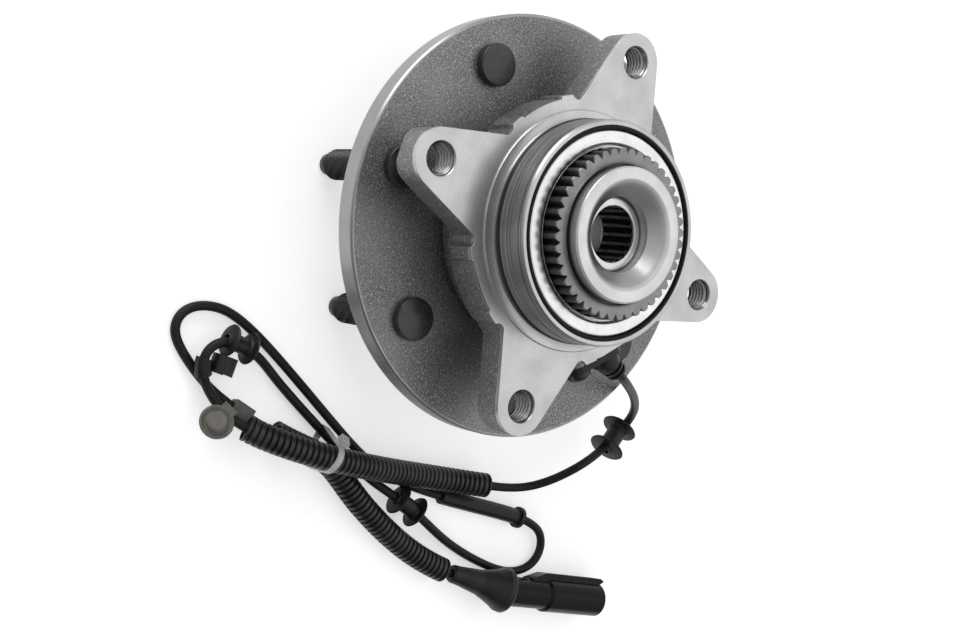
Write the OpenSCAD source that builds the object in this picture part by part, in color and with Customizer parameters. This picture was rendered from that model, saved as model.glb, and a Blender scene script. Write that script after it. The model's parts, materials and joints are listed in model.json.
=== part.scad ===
// Wheel hub bearing with toothed coupling ring, speed sensor and sensor lead.
// Millimetres. The origin is the centre of the stud circle on the wheel face, +Z points inboard.

/* [Wheel flange] */
// Radius of the wheel flange
flange_r = 95.2; // [93:0.1:100]
// Thickness of the wheel flange
flange_t = 10.5; // [9:0.1:12]
// Chamfer on the flange's rim
flange_chamfer = 0.8; // [0.4:0.1:1.5]
// Radius of the brake disc's register
disc_pilot_r = 58.2; // [57.9:0.1:60]
// Length of the brake disc's register
disc_pilot_h = 6.5; // [4:0.5:8]
// Radius of the wheel's pilot
wheel_pilot_r = 57.4; // [55:0.1:57.7]
// Height of the wheel's pilot outboard of the wheel face
wheel_pilot_h = 19; // [16:0.5:24]
// Wall of the wheel's pilot at its mouth
wheel_pilot_wall = 9.2; // [7:0.2:11]

/* [Wheel studs] */
// Number of wheel studs
stud_count = 7; // [5:1:8]
// Radius of the stud circle
stud_circle_r = 75; // [73:0.5:78]
// Angle of the first stud
stud_first_angle = 39.7; // [0:0.1:51]
// Radius of the stud's thread
stud_thread_r = 7; // [6:0.1:7.2]
// Radius of the pressed knurl of the stud
stud_knurl_r = 7.4; // [7.3:0.1:8]
// Radius of the stud's head
stud_head_r = 9.4; // [8.6:0.1:10.5]
// Height of the stud's head
stud_head_h = 3.9; // [3:0.1:5]
// Reach of the stud outboard of the wheel face
stud_reach = 50; // [42:0.5:55]
// Radius of the stud's dog point
stud_dog_r = 5.2; // [4.5:0.1:5.8]
// Length of the stud's dog point
stud_dog_h = 6; // [4:0.5:8]

/* [Bearing rows] */
// Diameter of the balls
ball_d = 14.288; // [13.8:0.001:14.6]
// Number of balls in a row
ball_count = 13; // [10:1:13]
// Radius of the circle through the ball centres
ball_circle_r = 34; // [33.8:0.1:34.4]
// Distance between the two rows of balls
row_spacing = 25; // [24.5:0.1:27]
// Clearance of a ball in its raceway
ball_play = 0.1; // [0.05:0.01:0.1]
// Height of a raceway's shoulder
shoulder_h = 3.4; // [3:0.1:3.6]
// Radial thickness of a ball cage
cage_t = 6.2; // [5:0.1:6.4]
// Wall of the cage's rim behind the balls
cage_rim = 1.2; // [0.8:0.1:1.4]

/* [Hub spindle] */
// Radius of the spindle under the inner ring
spindle_r = 22.5; // [21.5:0.1:23]
// Radius of the seal land beside the flange
land_r = 36; // [35:0.1:36.5]
// Height of the seal land above the flange
land_h = 3.9; // [3.5:0.1:4.2]
// Width of the inboard inner ring
inner_ring_w = 20.5; // [19.5:0.1:22]
// Radius of the formed collar on the spindle's end
collar_r = 28.7; // [27.5:0.1:29]
// Height of the collar above the toothed ring's face
collar_h = 4.8; // [4:0.1:6]
// Radius of the collar's inner lip
collar_lip_r = 22.3; // [21:0.1:22.4]
// Radius of the bore that holds the needle bearing
needle_seat_r = 16; // [15.6:0.1:16.4]
// Radius of the bore for the stub shaft's end
shaft_bore_r = 11; // [10:0.1:11.4]
// Length of the bore for the stub shaft's end
shaft_bore_l = 20; // [16:0.5:24]

/* [Toothed ring] */
// Number of teeth on the toothed ring
tooth_count = 44; // [36:1:48]
// Radius over the teeth
tooth_tip_r = 36.07; // [35.6:0.01:36.1]
// Depth of a tooth
tooth_depth = 2.57; // [2:0.01:3]
// Share of the pitch that a tooth fills at its tip
tooth_share = 0.44; // [0.38:0.01:0.5]
// Angle of a tooth gap's centre
tooth_gap_angle = 34.9; // [30:0.1:38]
// Thickness of the toothed ring
tooth_ring_t = 10.2; // [9:0.1:12]
// Radius of the ring's inner recess
ring_recess_r = 29.5; // [29.3:0.1:30.2]
// Depth of the ring's inner recess
ring_recess_h = 2.6; // [1.5:0.1:3.5]

/* [Housing] */
// Gap between the flange and the housing
flange_gap = 2; // [1.8:0.1:3]
// Height of the ear face above the wheel face
ear_face_z = 44.3; // [44:0.1:45.5]
// Outer radius of the housing's barrel
barrel_r = 51; // [49.5:0.1:52]
// Radius of the lobes between the ears
lobe_r = 57.5; // [56.5:0.1:58.2]
// Reach of a lobe's rounded corner
lobe_corner_reach = 60; // [59:0.1:61]
// Height of a lobe's side wall
lobe_t = 18; // [17:0.5:18.4]

/* [Knuckle ears] */
// Number of ears
ear_count = 4; // [3:1:4]
// Radius of the circle through the ear holes
ear_circle_r = 80; // [78:0.5:83]
// Radius of an ear's round tip
ear_tip_r = 12.75; // [11.5:0.05:14]
// Thickness of an ear
ear_t = 14; // [12:0.5:14.4]
// Angle between an ear's flank and its middle line
ear_taper = 18; // [16:0.5:20]
// Radius of the fillet between ear and lobe
notch_r = 3; // [2:0.1:3.6]
// Radius of the ear's tapped hole
ear_hole_r = 7; // [6:0.1:7.5]
// Widening of the ear hole's chamfered mouth
ear_hole_chamfer = 0.4; // [0.2:0.1:0.8]

/* [Knuckle pilot] */
// Radius of the knuckle pilot
pilot_r = 48.3; // [47.9:0.1:48.8]
// Radius of the raised ring at the pilot's root
root_ring_r = 52.4; // [51.6:0.1:53]
// Height of the raised ring
root_ring_h = 0.8; // [0.5:0.1:1.2]
// Width of the O-ring's groove
o_ring_groove_w = 3.2; // [3.1:0.1:3.6]
// Thickness of the pilot's O-ring
o_ring_d = 3; // [2.6:0.1:3]
// Depth of the O-ring's groove
o_ring_groove_h = 2.45; // [2.2:0.05:2.6]

/* [Inboard seal] */
// Radius of the inboard seal's seat
seal_in_r = 45.5; // [45.2:0.1:45.7]
// Depth of the inboard seal's seat
seal_in_h = 8.5; // [8.3:0.1:9.5]
// Radial width of the rubber ring
gasket_w = 3; // [2.4:0.1:3.2]
// Inner radius of the stamped seal case
seal_case_inner_r = 37.4; // [37.3:0.1:37.9]
// Sheet thickness of the seal cases
sheet_t = 0.8; // [0.6:0.1:0.9]

/* [Outboard seal] */
// Radius of the outboard seal's seat
seal_out_r = 44.5; // [44:0.1:45]
// Depth of the outboard seal's seat
seal_out_h = 6; // [5.6:0.1:6.4]

/* [Needle bearing] */
// Number of needles
needle_count = 20; // [16:1:20]
// Radius of a needle
needle_r = 1.6; // [1.5:0.05:1.65]
// Length of a needle
needle_l = 18; // [15:0.5:19]
// Wall of the drawn cup
cup_wall = 1; // [0.8:0.1:1.1]
// Inner radius of the cup's lips
cup_lip_r = 12.2; // [12:0.1:12.4]

/* [Speed sensor] */
// Direction of the sensor round the hub
sensor_angle = 225; // [224:0.5:226]
// Distance of the sensor's pad from the hub's axis
pad_d = 57; // [56.5:0.1:57.2]
// Radius of the sensor's body in its bore
sensor_r = 5.5; // [5:0.1:5.6]
// Radius of the sensor's nose
sensor_nose_r = 3.3; // [2.8:0.1:3.4]
// Air gap between the nose and the tone ring
air_gap = 0.8; // [0.5:0.1:1.2]
// Radius over the tone ring's teeth
tone_r = 33; // [32.4:0.1:33.2]
// Number of teeth on the tone ring
tone_count = 46; // [40:1:48]
// Thickness of the sensor's flange plate
plate_t = 3.5; // [3:0.1:4]
// Distance from the sensor to its screw
screw_offset = 16.5; // [15.5:0.1:17.5]
// Radius of the sensor screw's shank
screw_r = 3; // [2.5:0.1:3.2]

/* [Lead] */
// Diameter of the lead
lead_d = 4.3; // [4:0.1:4.6]
// Sides of the lead's tube
lead_sides = 10; // [8:1:12]
// Diameter of the corrugated looms
loom_d = 12; // [11.4:0.1:12]
// Wall of the corrugated looms
loom_wall = 1.4; // [0.8:0.1:2]
// Radius of the large grommet's flanges
grommet_r = 9.2; // [8:0.1:9.6]
// Distance between a grommet's two flanges
grommet_gap = 13.5; // [10:0.5:16]

/* [Connector] */
// Radius of the connector's rear body
plug_rear_r = 7.5; // [7:0.1:8]
// Radius of the connector's socket
plug_front_r = 8.7; // [8.5:0.1:9.4]
// Wall of the connector's socket
plug_wall = 1.6; // [1.2:0.1:2]
// Length of the connector
plug_l = 64; // [60:1:70]

/* [Hidden] */
$fn = 96;
stationary_gap = 0.3;
round_steps = 5;

// Heights of the stacked pieces
ball_r = ball_d / 2;
race_r = ball_r + ball_play;
housing_z = flange_t + flange_gap;
land_z = flange_t + land_h;
row_out_z = land_z + 1.5 + ball_r;
row_in_z = row_out_z + row_spacing;
row_mid_z = (row_out_z + row_in_z) / 2;
inner_ring_z = row_in_z - ball_r - 0.4;
ring_z = inner_ring_z + inner_ring_w;
ring_face_z = ring_z + tooth_ring_t;
seal_in_z = row_in_z + ball_r + 0.8;
pilot_end_z = seal_in_z + seal_in_h;
seal_out_z = housing_z + seal_out_h;

// Radii of the raceways and their lands
outer_land_r = ball_circle_r + race_r - shoulder_h;
outer_low_r = ball_circle_r + race_r - 0.6;
inner_shoulder_r = ball_circle_r - race_r + shoulder_h;
inner_low_r = ball_circle_r - race_r + 0.5;
cage_outer_r = outer_land_r - 0.6;
cage_inner_r = cage_outer_r - cage_t;
tooth_root_r = tooth_tip_r - tooth_depth;
case_in_r = seal_in_r - gasket_w;
cup_inner_r = needle_seat_r - cup_wall;
needle_play = 0.05;
needle_circle_r = cup_inner_r - needle_play - needle_r;
needle_end_z = ring_face_z - 5.7;
cup_z = needle_end_z - needle_l - 2 * (cup_wall + 0.5);

function polar(r, a) = [r * cos(a), r * sin(a)];
function arc(c, r, a0, a1, steps) = [for (i = [0 : steps]) c + polar(r, a0 + (a1 - a0) * i / steps)];

// Points of a raceway's groove round a row of balls, from angle a0 to a1
function groove(row_z, a0, a1) = arc([ball_circle_r, row_z], race_r, a0, a1, 14);

module spin_points(points) {
  rotate_extrude() polygon(points);
}

module ring(inner_r, outer_r, z, height) {
  translate([0, 0, z]) difference() {
    cylinder(r = outer_r, h = height);
    translate([0, 0, -1]) cylinder(r = inner_r, h = height + 2);
  }
}

module on_stud_circle() {
  for (i = [0 : stud_count - 1])
    rotate(stud_first_angle + i * 360 / stud_count) translate([stud_circle_r, 0, 0]) children();
}

module on_ears() {
  for (i = [0 : ear_count - 1]) rotate(i * 360 / ear_count) children();
}

// Hub forging: wheel flange, pilots, raceway, spindle and formed collar in one piece

relief_r = needle_seat_r - 1.6;
cap_seat_r = 26.5;
cap_collar_r = 32;
cap_collar_z = 4 - wheel_pilot_h;
web_z = -3;
pocket_r = wheel_pilot_r - wheel_pilot_wall;
collar_z = ring_face_z - ring_recess_h;
crown_z = ring_face_z + collar_h;
low_angle = acos((inner_low_r - ball_circle_r) / race_r);
high_angle = acos((inner_shoulder_r - ball_circle_r) / race_r);

hub_profile = concat(
  [[shaft_bore_r + 0.8, web_z], [shaft_bore_r, web_z + 0.8], [shaft_bore_r, shaft_bore_l],
   [relief_r, shaft_bore_l + 1.5], [relief_r, cup_z], [needle_seat_r, cup_z],
   [needle_seat_r, ring_face_z - 1.5], [collar_lip_r, crown_z - 0.7]],
  arc([collar_lip_r + 1.7, crown_z - 1.7], 1.7, 126, 90, round_steps),
  arc([collar_r - 2.4, crown_z - 2.4], 2.4, 90, 0, round_steps),
  [[collar_r, collar_z], [spindle_r, collar_z], [spindle_r, inner_ring_z], [inner_low_r, inner_ring_z]],
  groove(row_out_z, low_angle, 360 - high_angle),
  [[inner_shoulder_r, land_z], [land_r - 0.6, land_z], [land_r, land_z - 0.6], [land_r, flange_t],
   [flange_r - flange_chamfer, flange_t], [flange_r, flange_t - flange_chamfer],
   [flange_r, flange_chamfer], [flange_r - flange_chamfer, 0], [disc_pilot_r, 0],
   [disc_pilot_r, -disc_pilot_h + 0.5], [disc_pilot_r - 0.5, -disc_pilot_h],
   [wheel_pilot_r, -disc_pilot_h], [wheel_pilot_r, 1.4 - wheel_pilot_h]],
  [[wheel_pilot_r - 1.4, -wheel_pilot_h], [pocket_r + 0.8, -wheel_pilot_h],
   [pocket_r, 0.8 - wheel_pilot_h]],
  arc([pocket_r - 6.5, web_z - 3], 3, 0, 90, round_steps),
  arc([cap_collar_r + 4.5, web_z - 3], 3, 90, 180, round_steps),
  [[cap_collar_r, cap_collar_z + 0.6], [cap_collar_r - 0.6, cap_collar_z],
   [cap_seat_r + 0.8, cap_collar_z], [cap_seat_r, cap_collar_z + 0.8], [cap_seat_r, web_z]]
);

module hub_flange() {
  color([0.62, 0.62, 0.63]) difference() {
    spin_points(hub_profile);
    on_stud_circle() translate([0, 0, -1]) cylinder(r = stud_knurl_r, h = flange_t + 2);
  }
}

// Pressed wheel studs

head_edge = 0.6;
stud_profile = concat(
  [[0, flange_t + stud_head_h], [0, -stud_reach], [stud_dog_r - 1.6, -stud_reach]],
  arc([stud_dog_r - 1.6, 1.6 - stud_reach], 1.6, -72, 0, round_steps),
  [[stud_dog_r, stud_dog_h - stud_reach],
   [stud_thread_r, stud_dog_h - stud_reach + stud_thread_r - stud_dog_r],
   [stud_thread_r, 0], [stud_knurl_r, 0], [stud_knurl_r, flange_t], [stud_head_r, flange_t],
   [stud_head_r, flange_t + stud_head_h - head_edge],
   [stud_head_r - head_edge, flange_t + stud_head_h]]
);

module wheel_studs() {
  color([0.1, 0.1, 0.1]) on_stud_circle() spin_points(stud_profile);
}

// Housing: barrel, four knuckle ears, lobes between them and the knuckle pilot

half_step = 180 / ear_count;
// Outlines that would only touch overlap by this much, so that they meet in a clean edge
overlap = 0.03;
ear_flank = [sin(ear_taper), cos(ear_taper)];
flank_start = [ear_circle_r, 0] + ear_tip_r * ear_flank;
flank_run = [-cos(ear_taper), sin(ear_taper)];
corner_r = 3.8;
corner_c = polar(lobe_corner_reach - corner_r, half_step - 14.5);
// Centre of the notch's fillet circle: it touches the ear's flank and the lobe's corner circle
flank_off = flank_start + notch_r * ear_flank;
to_corner = corner_c - flank_off;
along = to_corner * flank_run;
across = to_corner * ear_flank;
notch_reach = corner_r + notch_r;
notch_c = flank_off + (along - sqrt(notch_reach * notch_reach - across * across)) * flank_run;
notch_touch_ear = notch_c - notch_r * ear_flank;
notch_touch_corner = notch_c + (corner_c - notch_c) * notch_r / notch_reach;
// Angle at which the flank's line passes well inside the barrel
flank_end = flank_start + 45 * flank_run;

module half_ear() {
  polygon([[0, 0], [ear_circle_r, 0], flank_start, flank_end]);
  difference() {
    polygon([[0, 0], notch_touch_ear, notch_c, notch_touch_corner, corner_c]);
    translate(notch_c) circle(r = notch_r + overlap);
  }
  translate(corner_c) circle(r = corner_r);
}

module outline() {
  circle(r = lobe_r - 1.6);
  on_ears() {
    translate([ear_circle_r, 0]) circle(r = ear_tip_r);
    half_ear();
    mirror([0, 1]) half_ear();
  }
  on_ears() rotate(half_step) intersection() {
    circle(r = lobe_r);
    polygon([[0, 0], polar(2 * lobe_r, -16), polar(2 * lobe_r, 16)]);
  }
}

// Underside of the forging, from the barrel up to the lobes and out along the ears
lobe_z = ear_face_z - lobe_t;
ear_z = ear_face_z - ear_t;
ear_reach = ear_circle_r + ear_tip_r;
forging_profile = concat(
  [[0, housing_z + 1], [barrel_r, housing_z + 1], [barrel_r, lobe_z - 5]],
  arc([barrel_r + 5, lobe_z - 5], 5, 180, 90, round_steps),
  arc([lobe_corner_reach + 0.6, ear_z - 3], 3, 190, 90, round_steps),
  arc([ear_reach + 0.3 - 4, ear_z + 4], 4, -90, -10, round_steps),
  [[ear_reach + 1, ear_z + 8], [ear_reach + 1, ear_face_z], [0, ear_face_z]]
);

// Knuckle pilot with its relief, O-ring groove and stepped end
groove_z = ear_face_z + 2.6;
groove_floor_r = pilot_r - o_ring_groove_h;
pilot_step_z = pilot_end_z - 7.3;
pilot_profile = concat(
  [[0, ear_face_z - 2], [root_ring_r, ear_face_z - 2], [root_ring_r, ear_face_z + root_ring_h - 0.3],
   [root_ring_r - 0.3, ear_face_z + root_ring_h], [pilot_r + 1.2, ear_face_z + root_ring_h]],
  [[pilot_r - 0.1, ear_face_z + root_ring_h + 0.5], [pilot_r - 0.4, ear_face_z + root_ring_h + 1.2],
   [pilot_r - 0.4, groove_z], [groove_floor_r, groove_z],
   [groove_floor_r, groove_z + o_ring_groove_w],
   [pilot_r, groove_z + o_ring_groove_w], [pilot_r, pilot_step_z],
   [pilot_r - 0.15, pilot_step_z + 0.15], [pilot_r - 0.15, pilot_end_z - 0.9],
   [pilot_r - 1, pilot_end_z], [0, pilot_end_z]]
);

outer_land_angle = acos((outer_land_r - ball_circle_r) / race_r);
outer_low_angle = acos((outer_low_r - ball_circle_r) / race_r);
bore_profile = concat(
  [[0, housing_z - 1], [seal_out_r, housing_z - 1], [seal_out_r, seal_out_z],
   [outer_low_r, seal_out_z]],
  groove(row_out_z, -outer_low_angle, outer_land_angle),
  groove(row_in_z, -outer_land_angle, outer_low_angle),
  [[outer_low_r, seal_in_z], [seal_in_r, seal_in_z], [seal_in_r, pilot_end_z - 0.3],
   [seal_in_r + 0.5, pilot_end_z + 0.2], [seal_in_r + 0.5, pilot_end_z + 1], [0, pilot_end_z + 1]]
);

// Carries children to the sensor's pad: local +Z points outwards, local +X round the hub
module on_sensor() {
  rotate(sensor_angle) translate([0, 0, row_mid_z]) rotate([0, 90, 0]) rotate(90) children();
}

pad_reach = 12;
pad_w = 32.5;
boss_r = 7;
sensor_play = 0.1;
screw_depth = 11;

module housing() {
  color([0.72, 0.72, 0.73]) difference() {
    union() {
      intersection() {
        translate([0, 0, housing_z + 1]) linear_extrude(ear_face_z - housing_z - 1) outline();
        spin_points(forging_profile);
      }
      spin_points([[0, housing_z], [barrel_r - 1.5, housing_z], [barrel_r, housing_z + 1.5],
        [barrel_r, lobe_z], [0, lobe_z]]);
      spin_points(pilot_profile);
      on_sensor() translate([-screw_offset, 0, barrel_r - 8])
        cylinder(r = boss_r, h = pad_d - barrel_r + 8);
    }
    spin_points(bore_profile);
    on_ears() translate([ear_circle_r, 0, 0]) spin_points([[0, ear_z - 1],
      [ear_hole_r + ear_hole_chamfer + 1, ear_z - 1], [ear_hole_r, ear_z + ear_hole_chamfer],
      [ear_hole_r, ear_face_z - ear_hole_chamfer],
      [ear_hole_r + ear_hole_chamfer + 1, ear_face_z + 1], [0, ear_face_z + 1]]);
    on_sensor() translate([-screw_offset - boss_r, -30, pad_d]) cube([pad_w, 60, pad_reach]);
    on_sensor() cylinder(r = sensor_r + sensor_play, h = pad_d + 1);
    on_sensor() translate([-screw_offset, 0, pad_d - screw_depth])
      cylinder(r = screw_r, h = screw_depth + 1);
  }
}

// Inboard inner ring, pressed on the spindle

module inner_ring() {
  color([0.78, 0.78, 0.8]) spin_points(concat(
    [[spindle_r, inner_ring_z], [inner_low_r, inner_ring_z]],
    groove(row_in_z, 360 - low_angle, high_angle),
    [[inner_shoulder_r, ring_z - 0.6], [inner_shoulder_r - 0.6, ring_z], [spindle_r, ring_z]]
  ));
}

// Toothed coupling ring, held on the spindle by the formed collar

module toothed_ring() {
  pitch = 360 / tooth_count;
  tip_half = pitch * tooth_share / 2;
  root_half = pitch * 0.335;
  color([0.6, 0.6, 0.6]) difference() {
    intersection() {
      translate([0, 0, ring_z]) linear_extrude(tooth_ring_t) union() {
        circle(r = tooth_root_r);
        for (i = [0 : tooth_count - 1]) rotate(tooth_gap_angle + (i + 0.5) * pitch)
          polygon([polar(tooth_root_r - 1, -root_half), polar(tooth_tip_r, -tip_half),
            polar(tooth_tip_r, tip_half), polar(tooth_root_r - 1, root_half)]);
      }
      spin_points([[0, ring_z], [tooth_tip_r - 0.5, ring_z], [tooth_tip_r + 0.1, ring_z + 0.6],
        [tooth_tip_r + 0.1, ring_face_z - 0.4], [tooth_tip_r - 0.3, ring_face_z], [0, ring_face_z]]);
    }
    spin_points([[0, ring_z - 1], [spindle_r, ring_z - 1], [spindle_r, collar_z],
      [ring_recess_r, collar_z], [ring_recess_r, ring_face_z - 0.8],
      [ring_recess_r + 0.4, ring_face_z - 0.4], [ring_recess_r + 1.2, ring_face_z],
      [ring_recess_r + 2.2, ring_face_z + 1], [0, ring_face_z + 1]]);
  }
}

// Tone ring between the rows, read by the speed sensor

tone_w = row_spacing - 2 * (ball_r + 0.3 + cage_rim + 0.8);
tone_wall = 1.8;

module tone_ring() {
  pitch = 360 / tone_count;
  color([0.5, 0.5, 0.5]) translate([0, 0, row_mid_z - tone_w / 2]) linear_extrude(tone_w) difference() {
    union() {
      circle(r = inner_low_r + tone_wall);
      for (i = [0 : tone_count - 1]) rotate(i * pitch)
        polygon([polar(inner_low_r + tone_wall / 2, -pitch * 0.28), polar(tone_r, -pitch * 0.22),
          polar(tone_r, pitch * 0.22), polar(inner_low_r + tone_wall / 2, pitch * 0.28)]);
    }
    circle(r = inner_low_r);
  }
}

// Ball rows and their cages

module ball_row(z) {
  color([0.85, 0.85, 0.87]) for (i = [0 : ball_count - 1])
    rotate(i * 360 / ball_count) translate([ball_circle_r, 0, z]) sphere(r = ball_r);
}

// Crown cage: the rim lies on the side that faces the tone ring
module ball_cage(z, side) {
  pocket_r = ball_r + 0.2;
  open_h = ball_r * 0.5;
  rim_h = ball_r + 0.2 + cage_rim;
  color([0.75, 0.7, 0.55]) translate([0, 0, z]) difference() {
    ring(cage_inner_r, cage_outer_r, side > 0 ? -open_h : -rim_h, open_h + rim_h);
    for (i = [0 : ball_count - 1]) rotate(i * 360 / ball_count) {
      translate([ball_circle_r, 0, 0]) sphere(r = pocket_r);
    }
  }
}

module outboard_balls() {
  ball_row(row_out_z);
}

module inboard_balls() {
  ball_row(row_in_z);
}

module outboard_cage() {
  ball_cage(row_out_z, 1);
}

module inboard_cage() {
  ball_cage(row_in_z, -1);
}

// Pilot O-ring, squeezed flat on the groove's floor

module pilot_o_ring() {
  centre_r = groove_floor_r + o_ring_d / 2 - 0.1;
  color([0.08, 0.08, 0.08]) rotate_extrude() intersection() {
    translate([centre_r, groove_z + o_ring_groove_w / 2]) circle(r = o_ring_d / 2);
    translate([groove_floor_r, groove_z]) square([2 * o_ring_d, o_ring_groove_w]);
  }
}

// Inboard seal: rubber ring, stamped case, lips, shield and slinger

gasket_top = pilot_end_z + 0.4;
case_crown_z = pilot_end_z - 0.3;
crown_r = 1.5;
skirt_end_z = seal_in_z + 4.8;
shield_gap = 0.38;
shield_r = tooth_tip_r + shield_gap;
shield_t = 0.5;
slinger_z = skirt_end_z - 1.3;
slinger_reach = case_in_r - 3.2;
lip_top_z = slinger_z - sheet_t - stationary_gap;

module seal_gasket() {
  color([0.06, 0.06, 0.06]) spin_points(concat(
    [[case_in_r, seal_in_z], [seal_in_r, seal_in_z], [seal_in_r, pilot_end_z - 0.4]],
    arc([seal_in_r - 0.9, pilot_end_z - 0.4], 0.8, 0, 90, round_steps),
    arc([case_in_r + 0.9, pilot_end_z - 0.4], 0.8, 90, 180, round_steps),
    [[case_in_r, pilot_end_z - 0.6]]
  ));
}

module inboard_seal_case() {
  inner_crown = crown_r - sheet_t;
  inside_r = seal_case_inner_r;
  color([0.85, 0.85, 0.86]) spin_points(concat(
    [[case_in_r, seal_in_z], [case_in_r, case_crown_z - crown_r]],
    arc([case_in_r - crown_r, case_crown_z - crown_r], crown_r, 0, 80, round_steps),
    arc([inside_r + crown_r, case_crown_z - crown_r], crown_r, 100, 180, round_steps),
    [[inside_r, skirt_end_z], [inside_r + sheet_t, skirt_end_z]],
    arc([inside_r + crown_r, case_crown_z - crown_r], inner_crown, 180, 100, round_steps),
    arc([case_in_r - crown_r, case_crown_z - crown_r], inner_crown, 80, 0, round_steps),
    [[case_in_r - sheet_t, seal_in_z + sheet_t], [outer_low_r - 1.4, seal_in_z + sheet_t],
     [outer_low_r - 1.4, seal_in_z]]
  ));
}

module inboard_seal_lips() {
  floor_z = seal_in_z + sheet_t;
  root_r = outer_low_r - 1;
  lip_r = inner_shoulder_r + sheet_t + stationary_gap;
  color([0.07, 0.07, 0.07]) spin_points([[case_in_r - sheet_t, floor_z], [case_in_r - sheet_t, floor_z + 0.9],
    [root_r + 0.2, floor_z + 0.9], [root_r - 1.6, lip_top_z], [root_r - 2.2, lip_top_z],
    [root_r - 1.2, floor_z + 0.7], [root_r - 2.4, floor_z + 0.5], [lip_r + 0.7, floor_z + 1],
    [lip_r, floor_z + 0.5], [lip_r + 0.6, floor_z], [root_r - 1.4, floor_z - 0.2], [root_r - 0.4, floor_z - 0.2],
    [root_r - 0.4, floor_z]]);
}

module inboard_seal_shield() {
  foot_z = skirt_end_z - shield_t;
  foot_r = seal_case_inner_r + sheet_t;
  color([0.7, 0.7, 0.7]) spin_points([[shield_r, foot_z], [foot_r, foot_z], [foot_r, skirt_end_z],
    [shield_r + shield_t, skirt_end_z], [shield_r + shield_t, skirt_end_z + 2.8],
    [shield_r, skirt_end_z + 2.8]]);
}

module inboard_slinger() {
  color([0.7, 0.7, 0.72]) spin_points([[inner_shoulder_r, seal_in_z + 0.2],
    [inner_shoulder_r + sheet_t, seal_in_z + 0.2], [inner_shoulder_r + sheet_t, slinger_z - sheet_t],
    [slinger_reach, slinger_z - sheet_t], [slinger_reach, slinger_z], [inner_shoulder_r, slinger_z]]);
}

// Outboard seal: stamped case, lips and a slinger on the hub's seal land

out_wall_r = outer_low_r + 0.2;
out_slinger_reach = seal_out_r - sheet_t - 1;

module outboard_seal_case() {
  color([0.6, 0.6, 0.62]) spin_points([[seal_out_r, housing_z + 0.3], [seal_out_r, seal_out_z],
    [out_wall_r, seal_out_z], [out_wall_r, seal_out_z - sheet_t],
    [seal_out_r - sheet_t, seal_out_z - sheet_t], [seal_out_r - sheet_t, housing_z + 0.3]]);
}

module outboard_seal_lips() {
  case_z = seal_out_z - sheet_t;
  lip_r = land_r + sheet_t + stationary_gap;
  lip_z = flange_t + sheet_t + stationary_gap;
  color([0.07, 0.07, 0.07]) spin_points([[seal_out_r - sheet_t, case_z], [out_wall_r - 1.5, case_z],
    [out_wall_r - 2.2, case_z - 1], [lip_r, land_z - 0.6], [lip_r + 0.2, land_z - 1.3],
    [out_wall_r - 1.6, case_z - 2], [out_wall_r - 0.2, case_z - 1.8], [out_wall_r + 0.2, lip_z],
    [out_wall_r + 0.9, lip_z], [out_wall_r + 1, case_z - 1.8], [seal_out_r - sheet_t, case_z - 1.4]]);
}

module outboard_slinger() {
  color([0.7, 0.7, 0.72]) spin_points([[land_r, flange_t], [out_slinger_reach, flange_t],
    [out_slinger_reach, flange_t + sheet_t], [land_r + sheet_t, flange_t + sheet_t],
    [land_r + sheet_t, land_z - 0.6], [land_r, land_z - 0.6]]);
}

// Drawn-cup needle bearing for the stub shaft

cup_z1 = needle_end_z;
cage_z0 = cup_z + cup_wall + 0.2;
cage_z1 = cup_z1 - cup_wall - 0.2;
needle_z = (cup_z + cup_z1 - needle_l) / 2;

module needle_cup() {
  edge = 1.2;
  color([0.8, 0.8, 0.82]) spin_points(concat(
    [[cup_lip_r, cup_z], [needle_seat_r - edge, cup_z]],
    arc([needle_seat_r - edge, cup_z + edge], edge, -90, 0, round_steps),
    arc([needle_seat_r - edge, cup_z1 - edge], edge, 0, 90, round_steps),
    [[cup_lip_r, cup_z1], [cup_lip_r, cup_z1 - cup_wall], [cup_inner_r, cup_z1 - cup_wall],
     [cup_inner_r, cup_z + cup_wall], [cup_lip_r, cup_z + cup_wall]]
  ));
}

module needle_cage() {
  slot = 2 * (needle_r + 0.06);
  color([0.12, 0.12, 0.12]) difference() {
    ring(needle_circle_r - 0.75, needle_circle_r + 0.75, cage_z0, cage_z1 - cage_z0);
    for (i = [0 : needle_count - 1]) rotate(i * 360 / needle_count)
      translate([needle_circle_r - 3, -slot / 2, needle_z - 0.1]) cube([6, slot, needle_l + 0.2]);
  }
}

module needles() {
  color([0.85, 0.85, 0.87]) for (i = [0 : needle_count - 1]) rotate(i * 360 / needle_count)
    translate([needle_circle_r, 0, needle_z]) cylinder(r = needle_r, h = needle_l, $fn = 24);
}

// Speed sensor: body with flange plate, O-ring, sleeve, screw and strain relief

nose_d = tone_r + air_gap;
nose_end_d = outer_land_r + 1;
plate_d = pad_d + plate_t;
plate_r = 8;
lug_r = 6.4;
sleeve_r = screw_r + 1.3;
seal_groove_d = pad_d - 7;
head_h = 5;
head_r = 6.4;
relief_angle = 27;
relief_start = 4.5;
lead_r = lead_d / 2;
lead_exit = [-48.2, -55.6, 35.5];

// Flange plate: two round ends joined by their common tangents
module plate_outline() {
  lean = asin((plate_r - lug_r) / screw_offset);
  up = [-sin(lean), cos(lean)];
  down = [-sin(lean), -cos(lean)];
  lug = [-screw_offset, 0];
  circle(r = plate_r);
  translate(lug) circle(r = lug_r);
  polygon([(plate_r - overlap) * up, lug + (lug_r - overlap) * up,
    lug + (lug_r - overlap) * down, (plate_r - overlap) * down]);
}

// Carries children to the strain relief: local +Z runs along the relief and ends in the lead's exit
module on_relief() {
  translate(lead_exit) rotate(sensor_angle + relief_angle) rotate([0, 90, 0]) children();
}

relief_l = 13;

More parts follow.
